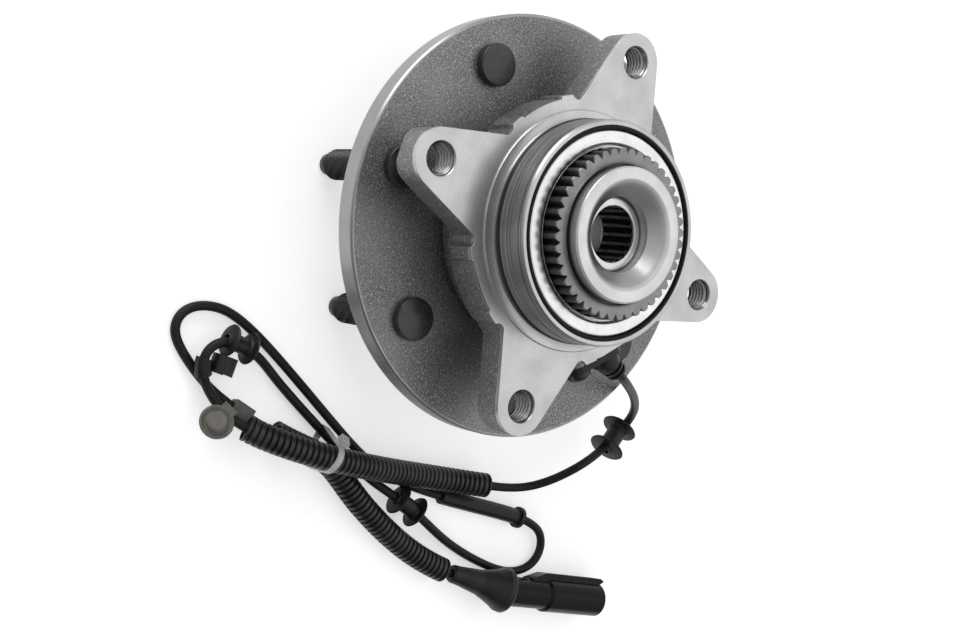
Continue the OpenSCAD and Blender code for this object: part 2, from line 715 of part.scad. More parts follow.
module sensor_body() {
  color([0.1, 0.1, 0.1]) {
    difference() {
      union() {
        on_sensor() {
          translate([0, 0, nose_d]) cylinder(r = sensor_nose_r, h = nose_end_d - nose_d + 1);
          translate([0, 0, nose_end_d]) cylinder(r = sensor_r, h = pad_d - nose_end_d + 1);
          translate([0, 0, pad_d]) linear_extrude(plate_t) plate_outline();
          translate([0, 0, plate_d - 1]) cylinder(r = head_r, h = head_h + 1);
        }
        on_relief() translate([0, 0, -relief_l]) cylinder(r = head_r - 0.6, h = relief_start);
      }
      on_sensor() translate([0, 0, seal_groove_d]) ring(sensor_r - 1.2, sensor_r + 1, 0, 2.4);
      on_sensor() translate([-screw_offset, 0, pad_d - 1]) cylinder(r = sleeve_r, h = plate_t + 2);
    }
  }
}

module sensor_o_ring() {
  color([0.5, 0.25, 0.1]) on_sensor()
    ring(sensor_r - 1.2, sensor_r + sensor_play, seal_groove_d + 0.2, 2);
}

module sensor_sleeve() {
  color([0.75, 0.65, 0.35]) on_sensor() translate([-screw_offset, 0, 0])
    ring(screw_r, sleeve_r, pad_d, plate_t);
}

module sensor_screw() {
  screw_head_r = 5.6;
  screw_head_h = 4.4;
  color([0.12, 0.12, 0.12]) on_sensor() translate([-screw_offset, 0, 0]) {
    translate([0, 0, pad_d - screw_depth + 1]) cylinder(r = screw_r, h = screw_depth - 1 + plate_t);
    difference() {
      spin_points(concat([[0, plate_d], [screw_head_r, plate_d], [screw_head_r, plate_d + 1.2]],
        arc([screw_head_r - 2.6, plate_d + screw_head_h - 2.6], 2.6, 0, 90, round_steps),
        [[0, plate_d + screw_head_h]]));
      translate([0, 0, plate_d + 1.8]) cylinder(r = 2.6, h = 5, $fn = 6);
    }
  }
}

module strain_relief() {
  z0 = relief_start - relief_l;
  rib_r = 5;
  groove_r = 4;
  color([0.08, 0.08, 0.08]) on_relief() spin_points([[0, z0], [rib_r + 0.6, z0], [rib_r + 0.5, z0 + 1.4],
    [groove_r + 0.3, z0 + 1.7], [groove_r + 0.2, z0 + 2.7], [rib_r + 0.2, z0 + 3], [rib_r, z0 + 4.4],
    [groove_r, z0 + 4.7], [groove_r - 0.1, z0 + 5.7], [rib_r - 0.2, z0 + 6], [rib_r - 0.4, z0 + 7.2],
    [groove_r - 0.4, z0 + 7.5], [lead_r + 0.9, 0], [0, 0]]);
}

// Sensor lead: a smooth curve drawn by hand-chosen guide points, from the sensor to the connector

lead_points = [
  lead_exit, [-53.5, -85, 18], [-45, -120, -19.5], [-72, -124.5, -27], [-86.5, -97.5, -12],
  [-109, -91.5, -38.5],
  [-114, -61.5, -38], [-119.5, -28.5, -44.5], [-127, 30.5, -25], [-128, 81, -33],
  [-118.5, 93.5, -44.5], [-110, 104, -41], [-99, 106, -41], [-91, 96, -40.5], [-94.5, 78, -42.5],
  [-101, 65.5, -47.5], [-120, 24, -45.8], [-130.5, -2.5, -47.5], [-135, -23, -37.8], [-147, -56, -48],
  [-152, -88, -47.5], [-151, -106, -47.5], [-142, -118, -47.5], [-128, -115.5, -45.5],
  [-120.5, -99.5, -43.5], [-130, -16, -47.5], [-115.5, 20.5, -45.8], [-80.5, 88, -47.5],
  [-80, 107, -47.5], [-86, 119, -47.5], [-97, 121, -47.5], [-106, 110, -47.5], [-115, 95, -47.5],
  [-120.5, 77.5, -44], [-126, 47.5, -43], [-126, 26.5, -42.5], [-139, 9.5, -42.5], [-155, -28, -44],
  [-161, -60, -44], [-160, -96, -38.3]
];
lead_last = len(lead_points) - 1;
lead_guides = concat([2 * lead_points[0] - lead_points[1]], lead_points,
  [2 * lead_points[lead_last] - lead_points[lead_last - 1]]);
// Places of the tube's rings: closer together on the long first spans
lead_places = concat([for (i = [0 : 11]) i / 4], [for (i = [0 : 66]) 3 + i * (lead_last - 3) / 66]);

// Point of the lead at place u, counted in guide points
function lead_at(u) = let (i = min(floor(u), lead_last - 1), t = u - i, s = 1 - t)
  (s * s * s * lead_guides[i] + (3 * t * t * t - 6 * t * t + 4) * lead_guides[i + 1]
   + (-3 * t * t * t + 3 * t * t + 3 * t + 1) * lead_guides[i + 2]
   + t * t * t * lead_guides[i + 3]) / 6;
function unit(v) = v / norm(v);
function lead_dir(u) = unit(lead_at(min(u + 0.02, lead_last)) - lead_at(max(u - 0.02, 0)));
function side_of(d) = unit(cross([0.12, 0.08, 1], d));

// Ring of points round the lead at place u
function lead_ring(u, r, sides) = let (c = lead_at(u), d = lead_dir(u), a = side_of(d), b = cross(d, a))
  [for (k = [0 : sides - 1]) c + r * (cos(360 * k / sides) * a + sin(360 * k / sides) * b)];

// Tube along the lead through rings at the given places
module swept_tube(places, r, sides) {
  rings = len(places);
  points = [for (u = places) each lead_ring(u, r, sides)];
  walls = [for (i = [0 : rings - 2], k = [0 : sides - 1]) let (n = (k + 1) % sides)
    [i * sides + k, (i + 1) * sides + k, (i + 1) * sides + n, i * sides + n]];
  first = [for (k = [0 : sides - 1]) k];
  last = [for (k = [sides - 1 : -1 : 0]) (rings - 1) * sides + k];
  polyhedron(points, concat(walls, [first, last]));
}

// Hollow sleeve along the lead from place u0 to u1
module swept_sleeve(u0, u1, rings, outer_r, inner_r, sides) {
  outer = [for (i = [0 : rings - 1]) each lead_ring(u0 + (u1 - u0) * i / (rings - 1), outer_r, sides)];
  inner = [for (i = [0 : rings - 1]) each lead_ring(u0 + (u1 - u0) * i / (rings - 1), inner_r, sides)];
  count = rings * sides;
  end = (rings - 1) * sides;
  outside = [for (i = [0 : rings - 2], k = [0 : sides - 1]) let (n = (k + 1) % sides)
    [i * sides + k, (i + 1) * sides + k, (i + 1) * sides + n, i * sides + n]];
  inside = [for (i = [0 : rings - 2], k = [0 : sides - 1]) let (n = (k + 1) % sides)
    [count + i * sides + n, count + (i + 1) * sides + n, count + (i + 1) * sides + k, count + i * sides + k]];
  start_face = [for (k = [0 : sides - 1]) let (n = (k + 1) % sides) [k, n, count + n, count + k]];
  end_face = [for (k = [0 : sides - 1]) let (n = (k + 1) % sides)
    [end + n, end + k, count + end + k, count + end + n]];
  polyhedron(concat(outer, inner), concat(outside, inside, start_face, end_face));
}

// Carries children to place u of the lead, with local +Z along it and local +Y upwards
module on_lead(u) {
  c = lead_at(u);
  d = lead_dir(u);
  a = side_of(d);
  b = cross(d, a);
  multmatrix([[a[0], b[0], d[0], c[0]], [a[1], b[1], d[1], c[1]], [a[2], b[2], d[2], c[2]], [0, 0, 0, 1]])
    children();
}

module lead() {
  color([0.07, 0.07, 0.07]) swept_tube(lead_places, lead_r, lead_sides);
}

grommet_1_u = 2.98;
grommet_2_u = 13.25;
grommet_3_u = 17.9;
loom_long_u = [5.95, 9.1];
loom_short_u = [33.65, 37.9];
sleeve_u = [23.9, 24.7];
push_pin_u = 9.55;
edge_clip_u = [10.9, 11.6];
band_clip_u = 32.9;
tie_u = 8.1;

// Rubber grommet: two thin round flanges on a spool, with a short neck at each end
module grommet(u, flange, gap) {
  half = gap / 2;
  spool_r = 0.52 * flange;
  edge = 1.1;
  neck = lead_r + 1.1;
  color([0.07, 0.07, 0.07]) on_lead(u) spin_points([
    [lead_r, -half - 2], [neck, -half - 2], [neck + 0.4, -half - edge / 2 - 0.5],
    [flange - 0.5, -half - edge / 2], [flange, -half], [flange - 0.3, -half + edge / 2],
    [spool_r + 0.8, -half + edge], [spool_r, -half + edge + 0.8], [spool_r, half - edge - 0.8],
    [spool_r + 0.8, half - edge], [flange - 0.3, half - edge / 2], [flange, half],
    [flange - 0.5, half + edge / 2], [neck + 0.4, half + edge / 2 + 0.5], [neck, half + 2],
    [lead_r, half + 2]]);
}

module grommet_1() {
  grommet(grommet_1_u, grommet_r, grommet_gap);
}

module grommet_2() {
  grommet(grommet_2_u, 0.8 * grommet_r, 0.8 * grommet_gap);
}

module grommet_3() {
  grommet(grommet_3_u, 0.86 * grommet_r, 0.88 * grommet_gap);
}

module loom_long() {
  color([0.09, 0.09, 0.09])
    swept_sleeve(loom_long_u[0], loom_long_u[1], 19, loom_d / 2, loom_d / 2 - loom_wall, 12);
}

module loom_short() {
  color([0.09, 0.09, 0.09])
    swept_sleeve(loom_short_u[0], loom_short_u[1], 17, loom_d / 2, loom_d / 2 - loom_wall, 12);
}

// Rubber sleeve with a flanged end
module lead_sleeve() {
  sleeve_outer = 4;
  color([0.07, 0.07, 0.07]) {
    swept_sleeve(sleeve_u[0], sleeve_u[1], 7, sleeve_outer, lead_r, 12);
    on_lead(sleeve_u[0]) ring(lead_r, sleeve_outer + 1.4, -1.6, 2);
  }
}

// Push-in clip: a strap round the lead with an arm that carries a round snap-in head
pin_head_r = 7.6;
pin_offset = 7.4;

module push_pin_clip() {
  strap = 1.7;
  arm_t = 1.8;
  color([0.45, 0.42, 0.38]) on_lead(push_pin_u) {
    ring(lead_r, lead_r + strap, -3.5, 7);
    difference() {
      translate([-2, lead_r - 0.6, -3.5]) cube([pin_offset + 2, arm_t, 7]);
      translate([0, 0, -4]) cylinder(r = lead_r, h = 8);
    }
    translate([pin_offset, lead_r + arm_t - 0.6, 0]) rotate([-90, 0, 0]) spin_points([[0, 0],
      [pin_head_r - 2.5, 0], [pin_head_r - 0.3, 1.8], [pin_head_r, 2.4], [pin_head_r - 0.7, 2.8],
      [5.2, 1.9], [4.4, 2.1], [4.6, 4], [3.8, 5.6], [0, 5.6]]);
  }
}

// Edge clip: a saddle round the lead, and beside it an open channel that snaps over a bracket's edge
channel_r = 5.6;
channel_wall = 1.1;
channel_l = 8;
channel_mouth = 5.6;
channel_c = [-103.5, 94.5, -42.6];

module edge_clip() {
  reach = lead_at(edge_clip_u[1]) - channel_c;
  color([0.15, 0.15, 0.15]) {
    swept_sleeve(edge_clip_u[0], edge_clip_u[1], 5, lead_r + 1.6, lead_r, 12);
    translate(channel_c) rotate([0, -90, 0]) translate([0, 0, -channel_l / 2]) {
      difference() {
        ring(channel_r - channel_wall, channel_r, 0, channel_l);
        translate([0, -channel_r - 1, -1]) rotate(-35)
          translate([-channel_r, -channel_mouth / 2, 0]) cube([channel_r, channel_mouth, channel_l + 2]);
      }
      translate([0.6 - channel_r, -channel_mouth / 2 - channel_wall, 0]) cube([1, channel_wall, channel_l]);
    }
  }
}

// Small band clip where two runs of the lead meet
module band_clip() {
  color([0.35, 0.35, 0.35]) on_lead(band_clip_u) difference() {
    translate([-lead_r - 1.3, -lead_r - 0.1, -5]) cube([2 * lead_r + 2.6, 2 * lead_r + 1.8, 10]);
    translate([0, 0, -6]) cylinder(r = lead_r, h = 12);
  }
}

// Cable tie round both looms and the bare run beside them: a flat band with a locking head
tie_w = 3;
tie_t = 0.9;
tie_play = 0.05;
tie_yaw = -15;
tie_places = [[tie_u, loom_d / 2], [34.66, loom_d / 2], [15.84, lead_r + 0.1]];
tie_lead_dir = lead_dir(tie_u);
tie_dir = unit([tie_lead_dir[0] * cos(tie_yaw) - tie_lead_dir[1] * sin(tie_yaw),
  tie_lead_dir[0] * sin(tie_yaw) + tie_lead_dir[1] * cos(tie_yaw), 0]);
tie_side = cross([0, 0, 1], tie_dir);

// Place of the lead at u in the tie's own upright plane
function in_tie(u) = let (v = lead_at(u) - lead_at(tie_u)) [v * tie_side, v[2]];

module tie_outline(grow) {
  hull() for (p = tie_places) translate(in_tie(p[0])) circle(r = p[1] + tie_play + grow, $fn = 32);
}

// Direction, seen from the long loom, in which the band's straight run to the bare lead lies
tie_run = in_tie(tie_places[2][0]);
tie_out = atan2(tie_run[1], tie_run[0]) - acos((tie_places[2][1] - tie_places[0][1]) / norm(tie_run));

module cable_tie() {
  band_r = loom_d / 2 + tie_play + tie_t;
  color([0.85, 0.85, 0.85]) multmatrix([[tie_side[0], 0, tie_dir[0], lead_at(tie_u)[0]],
    [tie_side[1], 0, tie_dir[1], lead_at(tie_u)[1]], [0, 1, 0, lead_at(tie_u)[2]], [0, 0, 0, 1]]) {
    translate([0, 0, -tie_w / 2]) linear_extrude(tie_w) difference() {
      tie_outline(tie_t);
      tie_outline(0);
    }
    rotate(tie_out) translate([band_r - 0.3, 2, -tie_w / 2 - 0.7]) cube([3.2, 5, tie_w + 1.4]);
  }
}

// Connector: rubber boot, moulded body with an open socket, latch rib and terminals

plug_start = lead_at(lead_last);
plug_end = [-150.8, -159.3, -41];
boot_l = 34;
boot_lip = 0;
boot_floor = -3.5;
boot_mouth_r = 11.3;
rear_l = 26;
socket_depth = 22;
key_w = 8;
terminal_r = 1.1;
terminal_gap = 3.2;

// Carries children to the end of the lead, with local +Z along d and local +Y upwards
module on_plug(d) {
  a = side_of(d);
  b = cross(d, a);
  c = plug_start;
  multmatrix([[a[0], b[0], d[0], c[0]], [a[1], b[1], d[1], c[1]], [a[2], b[2], d[2], c[2]], [0, 0, 0, 1]])
    children();
}
boot_axis = unit(plug_start - lead_at(lead_last - 1));
plug_axis = unit(plug_end - plug_start);

// The boot's wide end stands round the body's rear and leaves a narrow ring gap
module connector_boot() {
  color([0.08, 0.08, 0.08]) on_plug(boot_axis) spin_points([
    [lead_r, -boot_l], [lead_r + 1.8, -boot_l], [lead_r + 2.4, 1.2 - boot_l], [lead_r + 2.6, 5 - boot_l],
    [plug_rear_r - 1.2, -17], [plug_rear_r + 0.6, -11], [boot_mouth_r - 1.4, -6], [boot_mouth_r - 0.2, -3.5],
    [boot_mouth_r, -1], [boot_mouth_r - 0.6, boot_lip], [plug_rear_r + 1.6, boot_lip],
    [plug_rear_r + 0.8, boot_floor], [lead_r, boot_floor]]);
}

module connector_body() {
  color([0.1, 0.1, 0.1]) on_plug(plug_axis) difference() {
    union() {
      spin_points([[0, boot_floor], [plug_rear_r - 0.6, boot_floor], [plug_rear_r, boot_floor + 0.6],
        [plug_rear_r, rear_l - 1.5], [plug_front_r, rear_l], [plug_front_r, plug_l - 0.6],
        [plug_front_r - 0.6, plug_l], [0, plug_l]]);
    }
    translate([0, 0, plug_l - socket_depth]) cylinder(r = plug_front_r - plug_wall, h = socket_depth + 1);
  }
}

// Latch: a flat rib along the side of the body, with a window for the mating hook and an open tip
rib_h = 2.4;
rib_start = 14;
rib_ramp = 10;
window_l = 6;

module connector_latch() {
  top = plug_front_r + rib_h;
  color([0.1, 0.1, 0.1]) on_plug(plug_axis) difference() {
    rotate([90, 0, 0]) translate([0, 0, -key_w / 2]) linear_extrude(key_w) polygon([
      [plug_rear_r - 1, rib_start], [plug_rear_r + 0.2, rib_start], [top, rib_start + rib_ramp],
      [top, plug_l - 1], [top - 1.4, plug_l + 1.6], [plug_front_r - 1, plug_l - 2], [plug_front_r - 1, rear_l],
      [plug_rear_r - 1, rear_l]]);
    cylinder(r = plug_rear_r, h = rear_l - 1);
    spin_points([[0, rear_l - 1.5], [plug_rear_r, rear_l - 1.5], [plug_front_r, rear_l],
      [plug_front_r, plug_l + 3], [0, plug_l + 3]]);
    translate([plug_front_r - 1, -key_w / 2 + 1.6, plug_l - 10]) cube([rib_h + 3, key_w - 3.2, window_l]);
  }
}

module connector_terminals() {
  floor_z = plug_l - socket_depth;
  color([0.8, 0.7, 0.4]) on_plug(plug_axis) for (x = [-terminal_gap, terminal_gap])
    translate([x, 0, floor_z]) spin_points([[0, 0], [terminal_r, 0], [terminal_r, 13], [terminal_r - 0.5, 14],
      [0, 14]]);
}

hub_flange();
wheel_studs();
housing();
inner_ring();
toothed_ring();
tone_ring();
outboard_balls();
outboard_cage();
inboard_balls();
inboard_cage();
pilot_o_ring();
seal_gasket();
inboard_seal_case();
inboard_seal_lips();
inboard_seal_shield();
inboard_slinger();
outboard_seal_case();
outboard_seal_lips();
outboard_slinger();
needle_cup();
needle_cage();
needles();
sensor_body();
sensor_o_ring();
sensor_sleeve();
sensor_screw();
strain_relief();
lead();
grommet_1();
grommet_2();
grommet_3();
loom_long();
loom_short();
lead_sleeve();
push_pin_clip();
edge_clip();
band_clip();
cable_tie();
connector_boot();
connector_body();
connector_latch();
connector_terminals();
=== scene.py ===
"""Looks of a wheel hub unit with its sensor lead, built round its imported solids.
Lengths are in metres."""

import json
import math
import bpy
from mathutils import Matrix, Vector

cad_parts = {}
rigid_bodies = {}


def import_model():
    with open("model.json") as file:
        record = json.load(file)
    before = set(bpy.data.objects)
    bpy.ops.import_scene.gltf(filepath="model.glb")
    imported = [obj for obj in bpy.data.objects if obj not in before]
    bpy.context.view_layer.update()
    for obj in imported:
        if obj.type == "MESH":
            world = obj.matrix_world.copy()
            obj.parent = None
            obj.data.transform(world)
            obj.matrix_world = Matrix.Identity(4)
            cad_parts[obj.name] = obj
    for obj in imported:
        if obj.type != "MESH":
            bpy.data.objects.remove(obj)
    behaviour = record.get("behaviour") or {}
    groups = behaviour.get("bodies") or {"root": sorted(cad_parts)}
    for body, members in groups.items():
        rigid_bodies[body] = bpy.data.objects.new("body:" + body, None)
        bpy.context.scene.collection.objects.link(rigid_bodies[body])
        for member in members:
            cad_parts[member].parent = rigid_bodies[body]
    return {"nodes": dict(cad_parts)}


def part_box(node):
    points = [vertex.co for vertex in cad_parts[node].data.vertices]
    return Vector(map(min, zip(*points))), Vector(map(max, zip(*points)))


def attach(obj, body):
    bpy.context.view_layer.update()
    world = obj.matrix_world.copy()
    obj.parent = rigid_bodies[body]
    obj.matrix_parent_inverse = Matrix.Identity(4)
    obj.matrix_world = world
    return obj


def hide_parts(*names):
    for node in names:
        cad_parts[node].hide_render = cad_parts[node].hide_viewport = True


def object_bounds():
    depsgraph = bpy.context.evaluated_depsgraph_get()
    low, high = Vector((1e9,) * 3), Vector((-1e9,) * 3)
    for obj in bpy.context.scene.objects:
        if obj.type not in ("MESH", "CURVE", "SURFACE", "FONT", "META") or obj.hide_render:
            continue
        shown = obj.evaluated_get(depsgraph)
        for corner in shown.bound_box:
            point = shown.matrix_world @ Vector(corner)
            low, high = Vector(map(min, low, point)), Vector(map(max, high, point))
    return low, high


bl_info = {
    "name": "Wheel hub unit looks",
    "version": (1, 0, 0),
    "blender": (4, 5, 0),
    "location": "3D View > Sidebar > Hub unit",
    "description": "Adds the lead, looms, studs, threads and finishes of a wheel hub unit",
    "category": "Add Mesh",
}

import bmesh
import bpy
from bpy.props import FloatProperty, FloatVectorProperty, IntProperty, PointerProperty
from mathutils import Matrix, Vector

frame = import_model()
cad_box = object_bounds()
NODES = frame["nodes"]
MM = 0.001

# Route of the lead: guide points in millimetres
LEAD_POINTS = [
    (-48.2, -55.6, 35.5), (-49.8, -61.9, 34.4), (-50.7, -124, -14.5), (-70.4, -123.4, -28.4),
    (-87.2, -98, -11.5), (-108.8, -91.3, -38.7), (-114, -61.5, -38), (-119.5, -28.5, -44.5),
    (-127, 30.5, -25), (-128, 81, -33), (-118.5, 93.5, -44.5), (-110, 104, -41),
    (-99, 106, -41), (-91, 96, -40.5), (-94.5, 78, -42.5), (-101, 65.5, -47.5),
    (-120, 24, -45.8), (-130.5, -2.5, -47.5), (-135, -23, -37.8), (-147, -56, -48),
    (-152, -88, -47.5), (-151, -106, -47.5), (-142, -118, -47.5), (-128, -115.5, -45.5),
    (-120.5, -99.5, -43.5), (-130, -16, -47.5), (-115.5, 20.5, -45.8), (-80.5, 88, -47.5),
    (-80, 107, -47.5), (-86, 119, -47.5), (-97, 121, -47.5), (-106, 110, -47.5),
    (-115, 95, -47.5), (-120.5, 77.5, -44), (-126, 47.5, -43), (-126, 26.5, -42.5),
    (-139, 9.5, -42.5), (-155, -28, -44), (-161, -60, -44), (-160, -96, -38.3),
]
LEAD_LAST = len(LEAD_POINTS) - 1
LEAD_STEPS = 14  # curve points in each span between guide points
LOOM_STEPS = 24  # the same for the looms' lines
LOOM_LONG = (5.95, 9.1)  # first and last place of each loom, counted in guide points
LOOM_SHORT = (33.65, 37.9)

# Camera fitted to the stud circle, the flange's rim, the ears' holes and the bearing's rings
CAMERA_AT = (-0.13239, 0.39680, 0.52725)
CAMERA_RIGHT = (0.31893115, -0.73329417, 0.60046863)
CAMERA_UP = (0.93881433, 0.33135016, -0.09399324)
CAMERA_BACK = (-0.13004068, 0.59370593, 0.79410496)

WHITE = (1, 1, 1, 1)
EARS = 4
RING_SEGMENTS = 192  # faces round the seal's rings
TOOTH_SEGMENTS = 16  # faces round each tooth and its gap
STUD_SEGMENTS = 32
EAR_SEGMENTS = 36
ROUND_STEPS = 6  # faces along a rounded edge
PROFILE_STEPS = 30  # points round a loom
STEPS_PER_RIB = 12.0  # points along a loom from rib to rib
RIB_FLANK = (0.12, 0.4)  # where a rib's flank starts and ends, counted from the middle of a gap
THREAD_ROOT = 0.12  # share of a thread's ridge that is flat at its root
THREAD_FLANK = 0.72  # share of it that rises to the crest
ROWS_PER_PITCH = 8  # rows of faces along one turn of a stud's thread
EAR_ROWS_PER_PITCH = 10
PILOT_LINES = (57.2, 63.4)  # heights of the turned lines round the pilot, in millimetres
PART_MIDDLE = Vector((-0.03, -0.02, 0.01))  # where the lamps look
FLOOR_HALF = 4.0  # half of the floor's side
FLOOR_LIFT = 0.36  # glow of the floor as the camera and shiny metal see it
FLOOR_LIFT_SEEN = 0.15  # further glow that only the camera sees

# Rounded corners of the housing's lobes, on both sides of each ear
LOBE_CORNER_AT = 56.2 * MM
LOBE_CORNER_TURN = math.radians(30.5)
LOBE_CORNER_RADIUS = 3.95 * MM

# The formed collar's outer edge, as in the solid
COLLAR_RADIUS = 28.7 * MM
COLLAR_ROUND = 2.4 * MM


# ---- Sizes and colours that a user would change


def length(name, text, default):
    return FloatProperty(name=name, description=text, default=default, min=0.0, unit="LENGTH")


def colour(name, text, default):
    return FloatVectorProperty(
        name=name, description=text, default=default, min=0.0, max=1.0, subtype="COLOR", size=3
    )


def angle(name, text, degrees):
    return FloatProperty(
        name=name, description=text, default=math.radians(degrees), subtype="ANGLE"
    )


def power(name, text, default):
    return FloatProperty(name=name, description=text, default=default, min=0.0, unit="POWER")


class LeadSizes(bpy.types.PropertyGroup):
    """Sizes of the sensor's lead."""

    diameter: length("Diameter", "Outer diameter of the lead", 0.0043)
    whole: length("Length", "Length of the lead from the sensor to the plug", 1.1)
    tint: colour("Colour", "Colour of the lead's rubber", (0.011, 0.011, 0.0115))


class LoomSizes(bpy.types.PropertyGroup):
    """Sizes of the two corrugated looms."""

    crest: length("Crest radius", "Radius over the ribs", 0.006)
    root: length("Root radius", "Radius between the ribs", 0.0046)
    pitch: length("Rib pitch", "Distance from rib to rib", 0.00285)
    wall: length("Wall", "Thickness of the wall", 0.0006)
    slit: angle("Slit", "Angle of the lengthwise slit", 7)
    tint: colour("Colour", "Colour of the loom's plastic", (0.013, 0.013, 0.0135))


class StudSizes(bpy.types.PropertyGroup):
    """Sizes of the wheel studs."""

    count: IntProperty(name="Count", description="Studs on the circle", default=7, min=1)
    circle: length("Circle radius", "Radius of the stud circle", 0.075)
    first: angle("First angle", "Angle of the first stud", 39.7)
    thread: length("Thread radius", "Radius over the thread", 0.007)
    root: length("Root radius", "Radius at the thread's root", 0.0058)
    pitch: length("Thread pitch", "Pitch of the thread", 0.002)
    tint: colour("Colour", "Colour of the studs' black finish", (0.009, 0.009, 0.0094))


class EarThreadSizes(bpy.types.PropertyGroup):
    """Sizes of the tapped holes in the ears."""

    circle: length("Circle radius", "Radius of the circle of holes", 0.080)
    outer: length("Outer radius", "Radius of the thread's root in the ear", 0.00702)
    inner: length("Inner radius", "Radius of the thread's crest", 0.0059)
    pitch: length("Thread pitch", "Pitch of the thread", 0.002)
    low: length("Lower end", "Height of the thread's lower end", 0.0315)
    high: length("Upper end", "Height of the thread's upper end", 0.0434)


class SealSizes(bpy.types.PropertyGroup):
    """Sizes of the inboard seal's rubber ring and stamped case."""

    outer: length("Outer radius", "Radius of the seat in the housing", 0.0455)
    rubber: length("Rubber width", "Radial width of the rubber ring", 0.0015)
    inner: length("Inner radius", "Inner radius of the stamped case", 0.0374)
    sheet: length("Sheet", "Thickness of the case's sheet", 0.0008)
    crown: length("Crown radius", "Radius of the case's rounded edges", 0.0014)


class ToothedRingSizes(bpy.types.PropertyGroup):
    """Sizes of the toothed coupling ring."""

    teeth: IntProperty(name="Teeth", description="Teeth round the ring", default=44, min=3)
    gap: angle("Gap angle", "Angle of one tooth gap's middle", 34.9)
    tip: length("Tip radius", "Radius over the teeth", 0.03607)
    depth: length("Tooth depth", "Depth of the gaps", 0.00257)
    bore: length("Bore radius", "Radius that sits on the spindle", 0.0225)
    recess: length("Recess radius", "Radius of the recess round the collar", 0.0295)
    recess_depth: length("Recess depth", "Depth of the recess", 0.0026)


class ForgingSizes(bpy.types.PropertyGroup):
    """Edges of the forgings."""

    lobe: length("Lobe radius", "Radius that the rounded lobe corners reach", 0.0588)
    collar_edge: length("Collar edge", "Radius of the collar's rounded outer edge", 0.0009)


class FinishColours(bpy.types.PropertyGroup):
    """Colours of the metals, rubbers and plastics."""

    forged: colour("Forged", "Scaled forging, as on the flange", (0.215, 0.215, 0.212))
    forged_side: colour("Forged housing", "Blasted forging of the housing", (0.2, 0.2, 0.197))
    machined: colour("Machined", "Turned and faced steel", (0.53, 0.53, 0.525))
    polished: colour("Polished", "Ground bearing steel", (0.70, 0.70, 0.70))
    stamped: colour("Stamped", "Drawn bright sheet", (0.66, 0.66, 0.655))
    case: colour("Seal case", "Polished sheet of the seal's case", (0.84, 0.84, 0.84))
    sintered: colour("Sintered", "Sintered toothed ring", (0.27, 0.27, 0.268))
    rubber: colour("Rubber", "Seals and rings", (0.008, 0.008, 0.008))
    moulding: colour("Moulding", "Black moulded plastic", (0.007, 0.007, 0.0074))
    cage: colour("Cage", "Nylon of the ball cages", (0.50, 0.43, 0.28))
    pin: colour("Push pin", "Weathered push pin", (0.15, 0.14, 0.125))
    band: colour("Band", "Band clip", (0.085, 0.085, 0.087))
    tie: colour("Tie", "Nylon of the cable tie", (0.62, 0.63, 0.64))
    brass: colour("Brass", "Sleeve and terminals", (0.62, 0.46, 0.20))


class StageSizes(bpy.types.PropertyGroup):
    """Floor, lamps and lens."""

    floor: colour("Floor", "Colour of the floor", (0.86, 0.86, 0.86))
    lens: FloatProperty(
        name="Lens", description="Focal length", default=55.106, min=1.0, unit="CAMERA"
    )
    key: power("Key", "Power of the key lamp", 4.5)
    side: power("Side", "Power of the side lamp", 1.2)
    sky: FloatProperty(name="Sky", description="Strength of the even light", default=0.6, min=0.0)


# ---- The lead's line


def lead_at(u):
    """Point of the lead at place u, counted in guide points: a uniform cubic B-spline."""
    guides = [Vector(p) * MM for p in LEAD_POINTS]
    guides = [2 * guides[0] - guides[1]] + guides + [2 * guides[-1] - guides[-2]]
    i = min(math.floor(u), LEAD_LAST - 1)
    t = u - i
    s = 1 - t
    return (
        s**3 * guides[i]
        + (3 * t**3 - 6 * t**2 + 4) * guides[i + 1]
        + (-3 * t**3 + 3 * t**2 + 3 * t + 1) * guides[i + 2]
        + t**3 * guides[i + 3]
    ) / 6


def spaced(first, last, count):
    """Evenly spaced numbers from first to last."""
    return [first + (last - first) * i / count for i in range(count + 1)]


def lead_run(first, last, steps):
    """Points along the lead from place first to place last."""
    return [lead_at(u) for u in spaced(first, last, round((last - first) * steps))]


# ---- Mesh helpers


def link(name, data):
    obj = bpy.data.objects.new(name, data)
    bpy.context.scene.collection.objects.link(obj)
    return obj


def smooth(mesh, crease):
    """Shades the mesh smooth, with creases where faces meet at a larger angle, in degrees."""
    mesh.shade_smooth()
    work = bmesh.new()
    work.from_mesh(mesh)
    limit = math.radians(crease)
    for edge in work.edges:
        if len(edge.link_faces) == 2:
            edge.smooth = edge.calc_face_angle(0) < limit
    work.to_mesh(mesh)
    work.free()


def turned(name, outline, segments, radius_at=None, loop=False):
    """Mesh of an outline of (radius, height) turned about Z.
    radius_at(r, z, angle) may change a radius. A loop joins its last point to its first; any
    other outline starts and ends on the axis."""
    work = bmesh.new()
    rings = []
    for r, z in outline:
        if r < 1e-7:
            rings.append([work.verts.new((0, 0, z))])
            continue
        ring = []
        for k in range(segments):
            a = 2 * math.pi * k / segments
            rr = radius_at(r, z, a) if radius_at else r
            ring.append(work.verts.new((rr * math.cos(a), rr * math.sin(a), z)))
        rings.append(ring)
    for one, two in zip(rings, rings[1:] + rings[:1] if loop else rings[1:]):
        for k in range(segments):
            n = (k + 1) % segments
            corners = one[k % len(one)], one[n % len(one)], two[n % len(two)], two[k % len(two)]
            work.faces.new(tuple(dict.fromkeys(corners)))  # only three of them at the axis
    bmesh.ops.recalc_face_normals(work, faces=work.faces)
    mesh = bpy.data.meshes.new(name)
    work.to_mesh(mesh)
    work.free()
    return mesh


